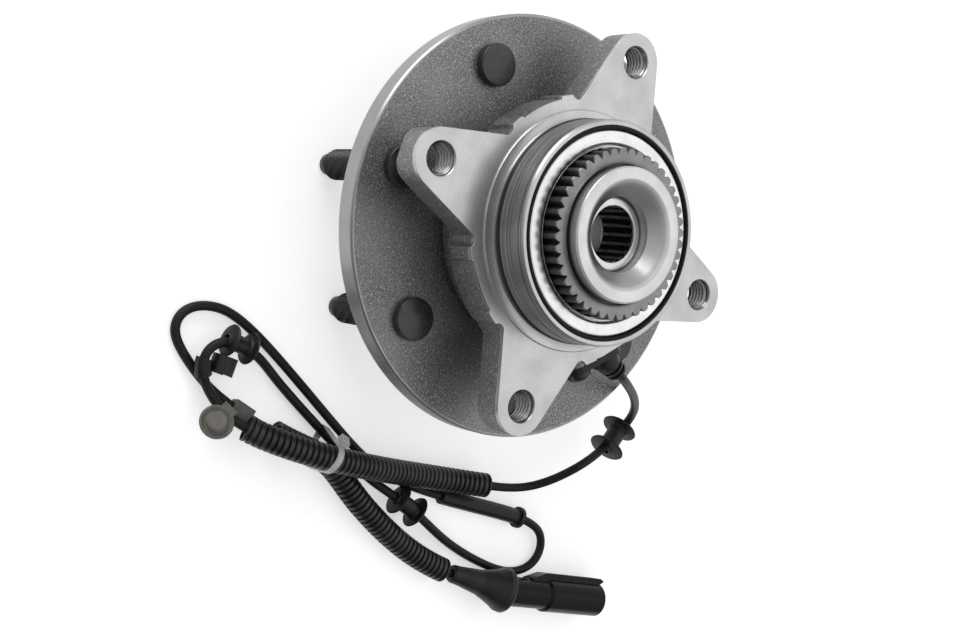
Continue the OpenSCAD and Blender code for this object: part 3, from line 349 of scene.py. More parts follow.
def turned_piece(name, outline, segments, material, crease, radius_at=None):
    """Piece of a closed outline turned about Z, shaded smooth."""
    piece = link(name, turned(name, outline, segments, radius_at, loop=True))
    piece.data.materials.append(material)
    smooth(piece.data, crease)
    return piece


def rounded(r, z, radius, start, stop):
    """Points of an arc about (r, z), from one angle to another in degrees."""
    angles = [math.radians(a) for a in spaced(start, stop, ROUND_STEPS)]
    return [(r + radius * math.cos(a), z + radius * math.sin(a)) for a in angles]


def thread_wave(z, angle, pitch):
    """Height of a right-handed thread at a point, from 0 at its root to 1 at its crest."""
    t = (z / pitch - angle / (2 * math.pi)) % 1.0
    ridge = 1 - abs(2 * t - 1)
    return min(1.0, max(0.0, (ridge - THREAD_ROOT) / THREAD_FLANK))


# ---- Nodes


class Nodes:
    """A node tree under construction. A term is a value or another node's output."""

    def __init__(self, tree):
        self.tree = tree

    def add(self, kind, terms=None, **settings):
        """New node with its settings and the terms of its inputs."""
        node = self.tree.nodes.new(kind)
        for key, value in settings.items():
            setattr(node, key, value)
        self.feed(node, terms or {})
        return node

    def feed(self, node, terms):
        """Gives a node's inputs their terms, by name or by number."""
        for label, term in terms.items():
            if isinstance(term, bpy.types.NodeSocket):
                self.tree.links.new(term, node.inputs[label])
            else:
                node.inputs[label].default_value = term

    def math(self, operation, *terms):
        return self.add("ShaderNodeMath", dict(enumerate(terms)), operation=operation).outputs[0]

    def spread(self, value, low, high, start=0.3, stop=0.7, kind="LINEAR"):
        """Maps start..stop, such as the middle of a noise's range, to low..high."""
        node = self.add("ShaderNodeMapRange", {
            "Value": value, "From Min": start, "From Max": stop, "To Min": low, "To Max": high,
        }, interpolation_type=kind)
        return node.outputs["Result"]

    def choose(self, share, one, two):
        """Number between two terms."""
        return self.add("ShaderNodeMix", {0: share, 2: one, 3: two}, data_type="FLOAT").outputs[0]


class Tree(Nodes):
    """A Geometry Nodes tree under construction, with named inputs."""

    def __init__(self, name, inputs):
        super().__init__(bpy.data.node_groups.new(name, "GeometryNodeTree"))
        face = self.tree.interface
        face.new_socket("Geometry", in_out="OUTPUT", socket_type="NodeSocketGeometry")
        face.new_socket("Geometry", in_out="INPUT", socket_type="NodeSocketGeometry")
        self.ids = {}
        for label, kind in inputs:
            socket = face.new_socket(label, in_out="INPUT", socket_type="NodeSocket" + kind)
            self.ids[label] = socket.identifier
        self.given = self.add("NodeGroupInput").outputs

    def end(self, geometry):
        """Realizes the geometry and gives it the Finish input."""
        real = self.add("GeometryNodeRealizeInstances", {0: geometry})
        terms = {"Geometry": real.outputs[0], "Material": self.given["Finish"]}
        painted = self.add("GeometryNodeSetMaterial", terms)
        self.add("NodeGroupOutput", {0: painted.outputs[0]})


def loom_tree():
    """Corrugated split tube along a line of edges."""
    tree = Tree("split_loom", [
        ("Crest", "Float"), ("Root", "Float"), ("Pitch", "Float"), ("Slit", "Float"),
        ("Finish", "Material"),
    ])
    given = tree.given
    line = tree.add("GeometryNodeMeshToCurve", {0: given["Geometry"]})
    step = tree.math("DIVIDE", given["Pitch"], STEPS_PER_RIB)
    terms = {"Curve": line.outputs[0], "Length": step}
    fine = tree.add("GeometryNodeResampleCurve", terms, mode="LENGTH")
    upright = tree.add("GeometryNodeSetCurveNormal", {"Curve": fine.outputs[0]}, mode="Z_UP")
    along = tree.add("GeometryNodeSplineParameter").outputs["Length"]
    place = tree.math("FRACT", tree.math("DIVIDE", along, given["Pitch"]))
    ridge = tree.math("ABSOLUTE", tree.math("SUBTRACT", tree.math("MULTIPLY", place, 2.0), 1.0))
    radius = tree.spread(ridge, given["Root"], given["Crest"], *RIB_FLANK, "SMOOTHSTEP")
    arc = tree.add("GeometryNodeCurveArc", {
        "Resolution": PROFILE_STEPS,
        "Radius": 1.0,
        "Start Angle": tree.math("DIVIDE", given["Slit"], 2.0),
        "Sweep Angle": tree.math("SUBTRACT", 2 * math.pi, given["Slit"]),
    }, mode="RADIUS")
    tube = tree.add("GeometryNodeCurveToMesh", {
        "Curve": upright.outputs[0], "Scale": radius, "Profile Curve": arc.outputs["Curve"],
    })
    tree.end(tube.outputs[0])
    return tree


def circle_tree():
    """Copies of one piece turned round the axis."""
    tree = Tree("round_the_axis", [("Count", "Int"), ("First", "Float"), ("Finish", "Material")])
    given = tree.given
    points = tree.add("GeometryNodeMeshLine", {"Count": given["Count"], "Offset": (0, 0, 0)})
    index = tree.add("GeometryNodeInputIndex").outputs[0]
    step = tree.math("DIVIDE", 2 * math.pi, given["Count"])
    turn = tree.math("ADD", tree.math("MULTIPLY", index, step), given["First"])
    spin = tree.add("ShaderNodeCombineXYZ", {"Z": turn})
    copies = tree.add("GeometryNodeInstanceOnPoints", {
        "Points": points.outputs[0], "Instance": given["Geometry"], "Rotation": spin.outputs[0],
    })
    tree.end(copies.outputs[0])
    return tree


def grown(name, mesh, shape, values, wall=0.0):
    """Runs a shape's tree on a mesh; the result is a plain mesh object at the origin."""
    source = link(name + "_source", mesh)
    made = source.modifiers.new("shape", "NODES")
    made.node_group = shape.tree
    for label, value in values.items():
        made[shape.ids[label]] = value
    if wall:
        shell = source.modifiers.new("wall", "SOLIDIFY")
        shell.thickness = wall
        shell.offset = -1.0
    graph = bpy.context.evaluated_depsgraph_get()
    result = bpy.data.meshes.new_from_object(
        source.evaluated_get(graph), preserve_all_data_layers=True, depsgraph=graph
    )
    result.name = name
    bpy.data.objects.remove(source)
    if not result.polygons:
        raise RuntimeError(name + " came out empty")
    return link(name, result)


# ---- Finishes


class Finish(Nodes):
    """A node material under construction. Its coordinates are the object's own, in mm."""

    def __init__(self, name, metallic=0.0, roughness=0.5, specular=0.5, edge=0.0):
        self.material = bpy.data.materials.new(name)
        self.material.use_nodes = True
        super().__init__(self.material.node_tree)
        self.shader = self.tree.nodes["Principled BSDF"]
        self.feed(self.shader, {
            "Metallic": metallic, "Roughness": roughness, "Specular IOR Level": specular,
        })
        coords = self.add("ShaderNodeTexCoord").outputs["Object"]
        terms = {"Vector": coords, "Scale": (1000, 1000, 1000)}
        self.place = self.add("ShaderNodeMapping", terms).outputs[0]
        self.normal = None
        if edge:
            bevel = self.add("ShaderNodeBevel", {"Radius": edge * MM}, samples=4)
            self.lean(bevel.outputs[0])

    def lean(self, normal):
        """Gives the shader a normal, which later bumps build on."""
        self.normal = normal
        self.feed(self.shader, {"Normal": normal})

    def noise(self, size, detail=3.0):
        """Noise with spots of about the given size in millimetres."""
        terms = {"Scale": 1 / size, "Detail": detail, "Vector": self.place}
        return self.add("ShaderNodeTexNoise", terms).outputs["Fac"]

    def mix(self, share, one, two):
        """Colour between two colours or colour outputs."""
        one, two = ((*end, 1.0) if isinstance(end, tuple) else end for end in (one, two))
        return self.add("ShaderNodeMix", {0: share, 6: one, 7: two}, data_type="RGBA").outputs[2]

    def tones(self, share, tint, one, two):
        """Colour between two shades of a tint."""
        return self.mix(share, shade(tint, one), shade(tint, two))

    def radius(self):
        """Distance from the axis, in millimetres."""
        terms = {0: self.place, 1: (1, 1, 0)}
        flat = self.add("ShaderNodeVectorMath", terms, operation="MULTIPLY").outputs[0]
        return self.add("ShaderNodeVectorMath", {0: flat}, operation="LENGTH").outputs["Value"]

    def height(self):
        """Height along the axis, in millimetres."""
        return self.add("ShaderNodeSeparateXYZ", {0: self.place}).outputs["Z"]

    def step(self, value, start=0.3, stop=0.7):
        """0 below start, 1 above stop."""
        return self.spread(value, 0.0, 1.0, start, stop)

    def until(self, value, start, stop):
        """1 below start, 0 above stop."""
        return self.math("SUBTRACT", 1.0, self.step(value, start, stop))

    def both(self, one, two):
        return self.math("MULTIPLY", one, two)

    def turning(self, fine=2.2):
        """Marks of the turning tool: rings on faces and on cylinders alike."""
        line = self.math("ADD", self.radius(), self.math("MULTIPLY", self.height(), 0.83))
        terms = {"Scale": fine, "Detail": 3.0, "W": line}
        return self.add("ShaderNodeTexNoise", terms, noise_dimensions="1D").outputs["Fac"]

    def colour(self, value):
        self.feed(self.shader, {"Base Color": value})

    def roughness(self, value):
        self.feed(self.shader, {"Roughness": value})

    def bump(self, height, depth):
        """Raises the surface by depth millimetres where height is 1."""
        terms = {"Strength": 1.0, "Distance": depth * MM, "Height": height}
        if self.normal is not None:
            terms["Normal"] = self.normal
        self.lean(self.add("ShaderNodeBump", terms).outputs[0])

    def brushed(self, amount):
        """Stretches highlights across the turning marks."""
        round_axis = self.add("ShaderNodeTangent", direction_type="RADIAL", axis="Z")
        self.feed(self.shader, {
            "Anisotropic": amount, "Anisotropic Rotation": 0.25, "Tangent": round_axis.outputs[0],
        })


def shade(tint, factor):
    return tuple(min(1.0, c * factor) for c in tint)


def forged_grain(finish, tint):
    """Colour, roughness and height of a scaled forging."""
    coarse = finish.noise(0.8, 4.0)
    fine = finish.noise(0.4, 2.0)
    patch = finish.noise(30.0)
    grain = finish.math("MULTIPLY", finish.math("ADD", coarse, fine), 0.5)
    base = finish.tones(finish.step(grain, 0.4, 0.6), tint, 0.5, 1.6)
    flecks = finish.step(finish.noise(0.8, 1.0), 0.62, 0.72)
    base = finish.mix(finish.both(flecks, 0.7), base, shade(tint, 3.2))
    return (
        finish.mix(finish.spread(patch, 0.0, 0.3, 0.4, 0.65), base, shade(tint, 1.6)),
        finish.spread(coarse, 0.4, 0.6),
        grain,
    )


def turned_skin(finish, tint):
    """Colour, roughness and height of a turned face."""
    marks = finish.turning()
    cloud = finish.step(finish.noise(14.0, 2.0), 0.35, 0.65)
    base = finish.tones(cloud, tint, 0.9, 1.08)
    base = finish.mix(finish.spread(marks, 0.0, 0.13, 0.35, 0.65), base, shade(tint, 0.62))
    return base, finish.spread(marks, 0.26, 0.34), marks


def two_skins(name, forged, machined, mask_of, darkening_of, brush):
    """Metal that is forged where the mask is 1 and turned where it is 0, painted darker by the
    darkening share, which holds painted shade.
    """
    finish = Finish(name, metallic=1.0, edge=0.3)
    mask = mask_of(finish)
    rough_colour, rough_rough, rough_height = forged_grain(finish, forged)
    fine_colour, fine_rough, fine_height = turned_skin(finish, machined)
    # Darkening of the turned skin to 0.3 of its tint: partly painted shade, on the collar's cone
    # and the pilot's side.
    fine_colour = finish.mix(darkening_of(finish), fine_colour, shade(machined, 0.3))
    finish.colour(finish.mix(mask, fine_colour, rough_colour))
    finish.roughness(finish.choose(mask, fine_rough, rough_rough))
    height = finish.choose(mask, finish.both(fine_height, 0.03), rough_height)
    finish.bump(height, 0.09)
    if brush:
        finish.brushed(brush)
    return finish.material


# Radii and heights in the masks and bands are in millimetres


def flange_mask(finish):
    """1 on the inboard face of the flange, inside its machined edge."""
    r = finish.radius()
    z = finish.height()
    wobble = finish.spread(finish.noise(7.0, 2.0), -0.1, 0.1)
    inside = finish.until(finish.math("ADD", r, wobble), 93.6, 94.2)
    outside = finish.step(r, 44.0, 45.0)
    slice_of_z = finish.both(finish.step(z, 9.9, 10.2), finish.until(z, 10.8, 11.1))
    return finish.both(finish.both(inside, outside), slice_of_z)


def rim_dark_and_cone_shade(finish):
    """Share of darkening: the flange's outer edge, darker, and the cone inside the collar, painted
    shade.
    """
    r = finish.radius()
    rim = finish.spread(r, 0.0, 0.62, 60, 62)
    # Painted shade on the cone inside the collar.
    cone = finish.spread(r, 0.42, 0.0, 21.6, 22.4)
    return finish.math("MAXIMUM", rim, cone)


def pilot_shade_and_lines(finish):
    """Share of darkening: painted shade on the knuckle pilot's side, in streaks of painted
    reflection, with two turned lines round it.
    """
    r = finish.radius()
    z = finish.height()
    # Painted shade and painted reflection streaks on the pilot's side.
    side = finish.both(finish.step(r, 47.4, 47.6), finish.step(z, 46.4, 46.6))
    side = finish.both(side, finish.until(r, 48.9, 49.1))
    side = finish.both(side, finish.spread(finish.turning(0.9), 0.2, 1.1))
    lines = 0.0
    for place in PILOT_LINES:
        off = finish.math("ABSOLUTE", finish.math("SUBTRACT", z, place))
        lines = finish.math("MAXIMUM", finish.until(off, 0.15, 0.4), lines)
    near = finish.both(lines, finish.step(r, 47.9, 48.0))
    return finish.math("MAXIMUM", side, near)


def housing_mask(finish):
    """1 on the forged sides, below the machined strip beside the ears' faces."""
    wobble = finish.spread(finish.noise(9.0, 2.0), -0.3, 0.3)
    return finish.until(finish.math("ADD", finish.height(), wobble), 42.2, 42.8)


def bright_metal(name, tint, low, high, brush=0.45, marks=0.02, edge=0.25):
    """Turned, drawn or ground steel: tool marks, faint clouds and smears."""
    finish = Finish(name, metallic=1.0, edge=edge)
    lines = finish.turning(3.0)
    cloud = finish.noise(9.0)
    base = finish.tones(finish.step(cloud, 0.35, 0.65), tint, 0.88, 1.06)
    finish.colour(finish.mix(finish.spread(lines, 0.0, 0.2, 0.4, 0.65), base, shade(tint, 0.55)))
    smears = finish.spread(cloud, 0.2, 0.8)
    finish.roughness(finish.choose(smears, finish.spread(lines, low, high), high))
    if marks:
        finish.bump(lines, marks)
    if brush:
        finish.brushed(brush)
    return finish.material


def sintered_metal(name, tint, face=None):
    """Pressed powder metal: matt, fine pores, worn a little brighter in patches.
    Below its face, given in millimetres, the skin is painted darker, as painted shade between the
    teeth and on their flanks."""
    finish = Finish(name, metallic=1.0, edge=0.2)
    pores = finish.noise(0.35, 4.0)
    wear = finish.noise(8.0)
    base = finish.tones(finish.step(pores), tint, 0.72, 1.2)
    base = finish.mix(finish.spread(wear, 0.0, 0.4, 0.45, 0.7), base, shade(tint, 1.45))
    if face is not None:
        # Painted shade below the face, between the teeth.
        below = finish.spread(finish.height(), 0.8, 0.0, face - 1.2, face - 0.2)
        base = finish.mix(below, base, shade(tint, 0.2))
    finish.colour(base)
    finish.roughness(finish.spread(pores, 0.38, 0.52))
    finish.bump(pores, 0.03)
    return finish.material


def black_steel(name, tint, shank=1.0, head=1.0):
    """Phosphated, oiled steel. The shank is below the wheel face, and the head above it; the head
    is painted lighter and the shank darker, as painted light and painted shade.
    """
    finish = Finish(name, metallic=0.2, roughness=0.4, specular=0.7, edge=0.1)
    grain = finish.noise(0.5, 4.0)
    smear = finish.step(finish.noise(4.0))
    low, high = (finish.tones(smear, tint, 0.75 * part, 1.9 * part) for part in (shank, head))
    # Painted light on the head, painted shade on the shank.
    finish.colour(finish.mix(finish.step(finish.height(), 0, 1), low, high))
    finish.roughness(finish.spread(grain, 0.22, 0.34))
    finish.bump(grain, 0.02)
    return finish.material


def soft_black(
    name, tint, low, high, grain_size=0.6, depth=0.02, dust=1.5, edge=0.25, specular=0.35
):
    """Rubber or moulded plastic: fine texture, faint dust and uneven gloss."""
    finish = Finish(name, roughness=low, specular=specular, edge=edge)
    grain = finish.noise(grain_size)
    haze = finish.noise(11.0)
    finish.colour(finish.tones(finish.step(haze, 0.4, 0.7), tint, 0.9, dust))
    finish.roughness(finish.choose(finish.step(haze), finish.spread(grain, low, high), high))
    finish.bump(grain, depth)
    return finish.material


def nylon(name, tint, clear=0.0, rough=0.35):
    """Moulded nylon, from opaque to milky."""
    finish = Finish(name, roughness=rough, specular=0.45, edge=0.2)
    haze = finish.noise(3.0)
    finish.colour(finish.tones(finish.step(haze), tint, 0.86, 1.12))
    finish.roughness(finish.spread(finish.noise(0.7, 2.0), rough - 0.08, rough + 0.1))
    finish.bump(finish.noise(0.5, 2.0), 0.015)
    finish.feed(finish.shader, {"Transmission Weight": clear})
    return finish.material


def paint(material, *nodes):
    """Gives CAD nodes their finish."""
    for name in nodes:
        slots = NODES[name].data.materials
        slots.clear()
        slots.append(material)


def reshaped(node, name, move, body, material):
    """Copy of a CAD node with its vertices moved, in the node's place."""
    work = bmesh.new()
    work.from_mesh(NODES[node].data)
    bmesh.ops.remove_doubles(work, verts=work.verts, dist=1e-6)
    for vert in work.verts:
        move(vert)
    mesh = bpy.data.meshes.new(name)
    work.to_mesh(mesh)
    work.free()
    piece = link(name, mesh)
    mesh.materials.append(material)
    smooth(mesh, 32)
    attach(piece, body)
    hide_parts(node)


# ---- Operators


class HUB_OT_camera(bpy.types.Operator):
    """Set the camera where the photographer stood"""

    bl_idname = "hub_unit.camera"
    bl_label = "Camera"

    def execute(self, context):
        data = bpy.data.cameras.new("photo_camera")
        data.sensor_width = 36.0
        data.lens = context.scene.hub_stage.lens
        data.clip_start = 0.01
        data.clip_end = 50.0
        camera = link("photo_camera", data)
        turn = Matrix((CAMERA_RIGHT, CAMERA_UP, CAMERA_BACK)).transposed()
        camera.matrix_world = Matrix.Translation(CAMERA_AT) @ turn.to_4x4()
        context.scene.camera = camera
        return {"FINISHED"}


class HUB_OT_looms(bpy.types.Operator):
    """Add the two corrugated split looms along the lead"""

    bl_idname = "hub_unit.looms"
    bl_label = "Looms"

    def execute(self, context):
        sizes = context.scene.hub_looms
        finish = soft_black(
            "loom_plastic", sizes.tint, 0.26, 0.38, depth=0.01, dust=1.9, edge=0.0, specular=0.45
        )
        tree = loom_tree()
        values = {
            "Crest": sizes.crest, "Root": sizes.root, "Pitch": sizes.pitch, "Slit": sizes.slit,
            "Finish": finish,
        }
        for node, (first, last) in (("loom_long", LOOM_LONG), ("loom_short", LOOM_SHORT)):
            points = lead_run(first, last, LOOM_STEPS)
            mesh = bpy.data.meshes.new(node + "_line")
            mesh.from_pydata(points, [(i, i + 1) for i in range(len(points) - 1)], [])
            loom = grown(node + "_ribbed", mesh, tree, values, wall=sizes.wall)
            smooth(loom.data, 50)
            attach(loom, "housing")
            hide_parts(node)
        return {"FINISHED"}


class HUB_OT_lead(bpy.types.Operator):
    """Add the sensor's lead as one smooth line"""

    bl_idname = "hub_unit.lead"
    bl_label = "Lead"

    def execute(self, context):
        sizes = context.scene.hub_lead
        curve = bpy.data.curves.new("lead_line", "CURVE")
        curve.dimensions = "3D"
        points = lead_run(0, LEAD_LAST, LEAD_STEPS)
        spline = curve.splines.new("POLY")
        spline.points.add(len(points) - 1)
        for target, point in zip(spline.points, points):
            target.co = (*point, 1.0)
        curve.bevel_depth = sizes.diameter / 2
        curve.bevel_resolution = 5
        curve.use_fill_caps = True
        lead = link("lead_line", curve)
        curve.materials.append(
            soft_black("lead_rubber", sizes.tint, 0.36, 0.48, grain_size=0.8, depth=0.015,
                       dust=1.8, edge=0.0, specular=0.22)
        )
        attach(lead, "housing")
        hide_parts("lead")
        return {"FINISHED"}


class HUB_OT_studs(bpy.types.Operator):
    """Add the wheel studs with their threads"""

    bl_idname = "hub_unit.studs"
    bl_label = "Wheel studs"

    def execute(self, context):
        sizes = context.scene.hub_studs
        tip, top = (corner.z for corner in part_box("wheel_studs"))
        dog_top = tip + 6.0 * MM
        thread_low = dog_top + 1.2 * MM
        thread_top = -9.0 * MM
        run_out = 2.0 * MM
        lead_in = 1.4 * MM
        lead_in_r = 5.5 * MM
        rows = round((thread_top - dog_top) * ROWS_PER_PITCH / sizes.pitch)
        # Radii and heights in millimetres: above the tip, above the wheel face, below the top
        foot = [(0, 0), (4.1, 0), (4.6, 0.2), (4.9, 0.6), (4.9, 4.3), (4.7, 4.8)]
        neck = [(7.0, -8.4), (7.0, 0), (7.2, 0.1), (7.2, 10.5), (9.1, 10.5), (9.4, 10.8)]
        head = [(9.4, 0.75), (9.3, 0.35), (9.05, 0.1), (8.7, 0), (0, 0)]
        outline = [(r * MM, tip + z * MM) for r, z in foot]
        outline += [(5.0 * MM, dog_top - 0.3 * MM), (5.4 * MM, dog_top)]
        outline += [(sizes.thread, z) for z in spaced(thread_low, thread_top, rows)]
        outline += [(r * MM, z * MM) for r, z in neck]
        outline += [(r * MM, top - z * MM) for r, z in head]
        depth = sizes.thread - sizes.root

        def cut(r, z, angle):
            if not dog_top < z <= thread_top:
                return r
            fade = min(1.0, (thread_top - z) / run_out)
            start = min(1.0, (z - dog_top) / lead_in)
            full = sizes.thread - depth * fade * (1 - thread_wave(z, angle, sizes.pitch))
            return min(full, lead_in_r + (sizes.thread - lead_in_r) * start)

        mesh = turned("stud", outline, STUD_SEGMENTS, cut)
        mesh.transform(Matrix.Translation((sizes.circle, 0, 0)))
        # Head painted lighter and shank darker: painted light and painted shade.
        finish = black_steel("stud_black", sizes.tint, shank=0.4, head=1.8)
        values = {"Count": sizes.count, "First": sizes.first, "Finish": finish}
        studs = grown("threaded_studs", mesh, circle_tree(), values)
        smooth(studs.data, 38)
        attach(studs, "hub")
        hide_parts("wheel_studs")
        return {"FINISHED"}


class HUB_OT_ear_threads(bpy.types.Operator):
    """Add the threads of the four tapped ears"""

    bl_idname = "hub_unit.ear_threads"
    bl_label = "Ear threads"

    def execute(self, context):
        sizes = context.scene.hub_ear_threads
        depth = sizes.outer - sizes.inner
        behind = sizes.outer + 0.1 * MM
        run_out = 1.6 * MM
        rows = round((sizes.high - sizes.low) * EAR_ROWS_PER_PITCH / sizes.pitch)
        outline = [(sizes.inner, z) for z in spaced(sizes.low, sizes.high, rows)]
        outline += [(behind, sizes.high), (behind, sizes.low)]

        def cut(r, z, angle):
            if r > sizes.outer:
                return r
            fade = min(1.0, (sizes.high - z) / run_out, (z - sizes.low) / run_out)
            return sizes.outer - depth * max(0.02, fade) * thread_wave(z, angle, sizes.pitch)

        mesh = turned("ear_thread", outline, EAR_SEGMENTS, cut, loop=True)
        mesh.transform(Matrix.Translation((sizes.circle, 0, 0)))
        # A darker copy of the machined tint: painted shade inside the tapped holes.
        tint = shade(context.scene.hub_finishes.machined, 0.62)
        finish = bright_metal("tapped_steel", tint, 0.16, 0.26, brush=0.0, marks=0.0)
        values = {"Count": EARS, "First": 0.0, "Finish": finish}
        threads = grown("ear_threads", mesh, circle_tree(), values)
        smooth(threads.data, 50)
        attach(threads, "housing")
        return {"FINISHED"}


class HUB_OT_forgings(bpy.types.Operator):
    """Finish the flange and the housing: forged skin with machined faces"""

    bl_idname = "hub_unit.forgings"
    bl_label = "Forgings"

    def execute(self, context):
        sizes = context.scene.hub_forgings
        tints = context.scene.hub_finishes
        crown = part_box("hub_flange")[1].z
        edge = sizes.collar_edge
        old_centre = Vector((COLLAR_RADIUS - COLLAR_ROUND, crown - COLLAR_ROUND))
        new_centre = Vector((COLLAR_RADIUS - edge, crown - edge))
        near = 0.01 * MM

        def sharpen_collar(vert):
            """Draws the collar's outer edge in to a smaller round."""
            r = vert.co.xy.length
            arm = Vector((r, vert.co.z)) - old_centre
            if min(arm) < -near or r > COLLAR_RADIUS + near:
                return
            if abs(arm.length - COLLAR_ROUND) > 5 * near:
                return
            place = new_centre + arm.normalized() * edge
            vert.co.xy = vert.co.xy * (place.x / r)
            vert.co.z = place.y

        # The flange's rim is darker, and the cone inside its collar gets painted shade.
        flange_steel = two_skins(
            "flange_steel", tints.forged, shade(tints.machined, 1.2), flange_mask, rim_dark_and_cone_shade, 0.3
        )
        reshaped(
            "hub_flange", "hub_flange_forging", sharpen_collar, "hub", flange_steel
        )
        corners = [
            Vector((math.cos(a), math.sin(a))) * LOBE_CORNER_AT
            for ear in range(EARS)
            for a in (
                ear * 2 * math.pi / EARS - LOBE_CORNER_TURN,
                ear * 2 * math.pi / EARS + LOBE_CORNER_TURN,
            )
        ]

        def ease_lobes(vert):
            """Draws the lobes' corners in to the lobe radius."""
            flat = vert.co.xy
            if flat.length <= sizes.lobe:
                return
            if min((flat - corner).length for corner in corners) < LOBE_CORNER_RADIUS:
                vert.co.xy = flat * (sizes.lobe / flat.length)

        # The pilot's side gets painted shade and painted reflection streaks.
        housing_steel = two_skins(
            "housing_steel", tints.forged_side, tints.machined, housing_mask, pilot_shade_and_lines, 0.0
        )
        reshaped(
            "housing", "housing_forging", ease_lobes, "housing", housing_steel
        )
        return {"FINISHED"}


class HUB_OT_bearing(bpy.types.Operator):
    """Finish the rings, balls, needles and pressed steel parts"""

    bl_idname = "hub_unit.bearing"
    bl_label = "Bearing parts"

    def execute(self, context):
        tints = context.scene.hub_finishes
        paint(
            bright_metal("bearing_steel", tints.polished, 0.12, 0.22, brush=0.3, marks=0.008),
            "inner_ring", "outboard_balls", "inboard_balls",
        )
        # Needles painted dark: painted shade deep in the bore.
        dark = shade(tints.polished, 0.3)
        paint(bright_metal("needle_steel", dark, 0.05, 0.08, brush=0.0, marks=0.0), "needles")
        paint(
            bright_metal("stamped_steel", tints.stamped, 0.16, 0.26, brush=0.35, marks=0.01),
            "inboard_seal_shield", "inboard_slinger", "outboard_seal_case", "outboard_slinger",
            "needle_cup",
        )
        paint(sintered_metal("sintered_steel", tints.sintered), "tone_ring")
        paint(nylon("cage_nylon", tints.cage), "outboard_cage", "inboard_cage")
        dark = shade(tints.moulding, 0.6)
        paint(soft_black("cage_black", dark, 0.35, 0.5, specular=0.15), "needle_cage")
        return {"FINISHED"}


class HUB_OT_toothed_ring(bpy.types.Operator):
    """Add the toothed coupling ring with its tapering teeth"""

    bl_idname = "hub_unit.toothed_ring"
    bl_label = "Toothed ring"

    def execute(self, context):
        sizes = context.scene.hub_toothed_ring
        floor, face = (corner.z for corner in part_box("toothed_ring"))
        root = sizes.tip - sizes.depth
        shelf = face - sizes.recess_depth
        outline = [
            (sizes.bore, floor), (root - 0.6 * MM, floor), (sizes.tip - 0.5 * MM, floor),
            (sizes.tip, floor + 0.6 * MM), (sizes.tip, face - 0.4 * MM),
            (sizes.tip - 0.3 * MM, face), (root - 0.6 * MM, face), (sizes.recess + 1.2 * MM, face),
            (sizes.recess + 0.4 * MM, face - 0.4 * MM), (sizes.recess, face - 0.8 * MM),
            (sizes.recess, shelf), (sizes.bore, shelf),
        ]

        flat, flank, fullness = 0.07, 0.62, 0.8  # profile of half a gap, from its middle

        def cut(r, z, angle):
            if r < root:
                return r
            turn = (angle - sizes.gap) / (2 * math.pi) * sizes.teeth
            off = 2 * abs(turn - round(turn))  # 0 in a gap's middle, 1 in a tooth's middle
            rise = min(1.0, max(0.0, (off - flat) / flank)) ** fullness
            return min(r, root + sizes.depth * rise)

        # face: painted shade below the ring's face, between its teeth.
        steel = sintered_metal("ring_steel", context.scene.hub_finishes.sintered, face=face / MM)
        segments = sizes.teeth * TOOTH_SEGMENTS
        ring = turned_piece("cut_toothed_ring", outline, segments, steel, 30, cut)
        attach(ring, "hub")
        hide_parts("toothed_ring")
        return {"FINISHED"}


class HUB_OT_seal(bpy.types.Operator):
    """Add the inboard seal's rubber ring and its bright stamped case"""

    bl_idname = "hub_unit.seal"
    bl_label = "Inboard seal"

    def execute(self, context):
        sizes = context.scene.hub_seal
        tints = context.scene.hub_finishes
        split = sizes.outer - sizes.rubber
        floor, top = (corner.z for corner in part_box("seal_gasket"))
        lip = 0.6 * MM
        outline = [(split, floor), (sizes.outer, floor), (sizes.outer, top - lip)]
        outline += rounded(sizes.outer - lip, top - lip, lip, 0, 90)
        outline += rounded(split + lip, top - lip, lip, 90, 180)
        rubber = soft_black(
            "ring_rubber", tints.rubber, 0.3, 0.4, grain_size=1.5, depth=0.01, dust=1.2,
            specular=0.15,
        )
        ring = turned_piece("seal_ring", outline, RING_SEGMENTS, rubber, 50)
        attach(ring, "housing")
        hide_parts("seal_gasket")

        floor, top = (corner.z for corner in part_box("inboard_seal_case"))
        skirt = floor + 4.8 * MM
        turn = sizes.crown
        inside = turn - sizes.sheet
        outline = [(split, floor), (split, top - turn)]
        outline += rounded(split - turn, top - turn, turn, 0, 90)
        outline += rounded(sizes.inner + turn, top - turn, turn, 90, 180)
        outline += [(sizes.inner, skirt), (sizes.inner + sizes.sheet, skirt)]
        outline += rounded(sizes.inner + turn, top - turn, inside, 180, 90)
        outline += rounded(split - turn, top - turn, inside, 90, 0)
        outline += [(split - sizes.sheet, floor)]
        steel = bright_metal("case_steel", tints.case, 0.2, 0.3, brush=0.3, marks=0.006)
        case = turned_piece("seal_case", outline, RING_SEGMENTS, steel, 50)
        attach(case, "housing")
        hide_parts("inboard_seal_case")
        return {"FINISHED"}


class HUB_OT_rubber(bpy.types.Operator):
    """Finish the seals, rings, grommets and sleeves"""

    bl_idname = "hub_unit.rubber"
    bl_label = "Rubber parts"

    def execute(self, context):
        tints = context.scene.hub_finishes
        seals = {"grain_size": 1.5, "depth": 0.01, "dust": 1.4}
        paint(
            soft_black("seal_rubber", tints.rubber, 0.2, 0.32, **seals),
            "pilot_o_ring", "inboard_seal_lips", "outboard_seal_lips", "sensor_o_ring",
        )
        sleeves = {"grain_size": 0.9, "depth": 0.015, "dust": 2.2}
        paint(
            soft_black("cord_rubber", tints.rubber, 0.3, 0.44, **sleeves),
            "grommet_1", "grommet_2", "grommet_3", "strain_relief", "lead_sleeve",
            "connector_boot",
        )
        return {"FINISHED"}


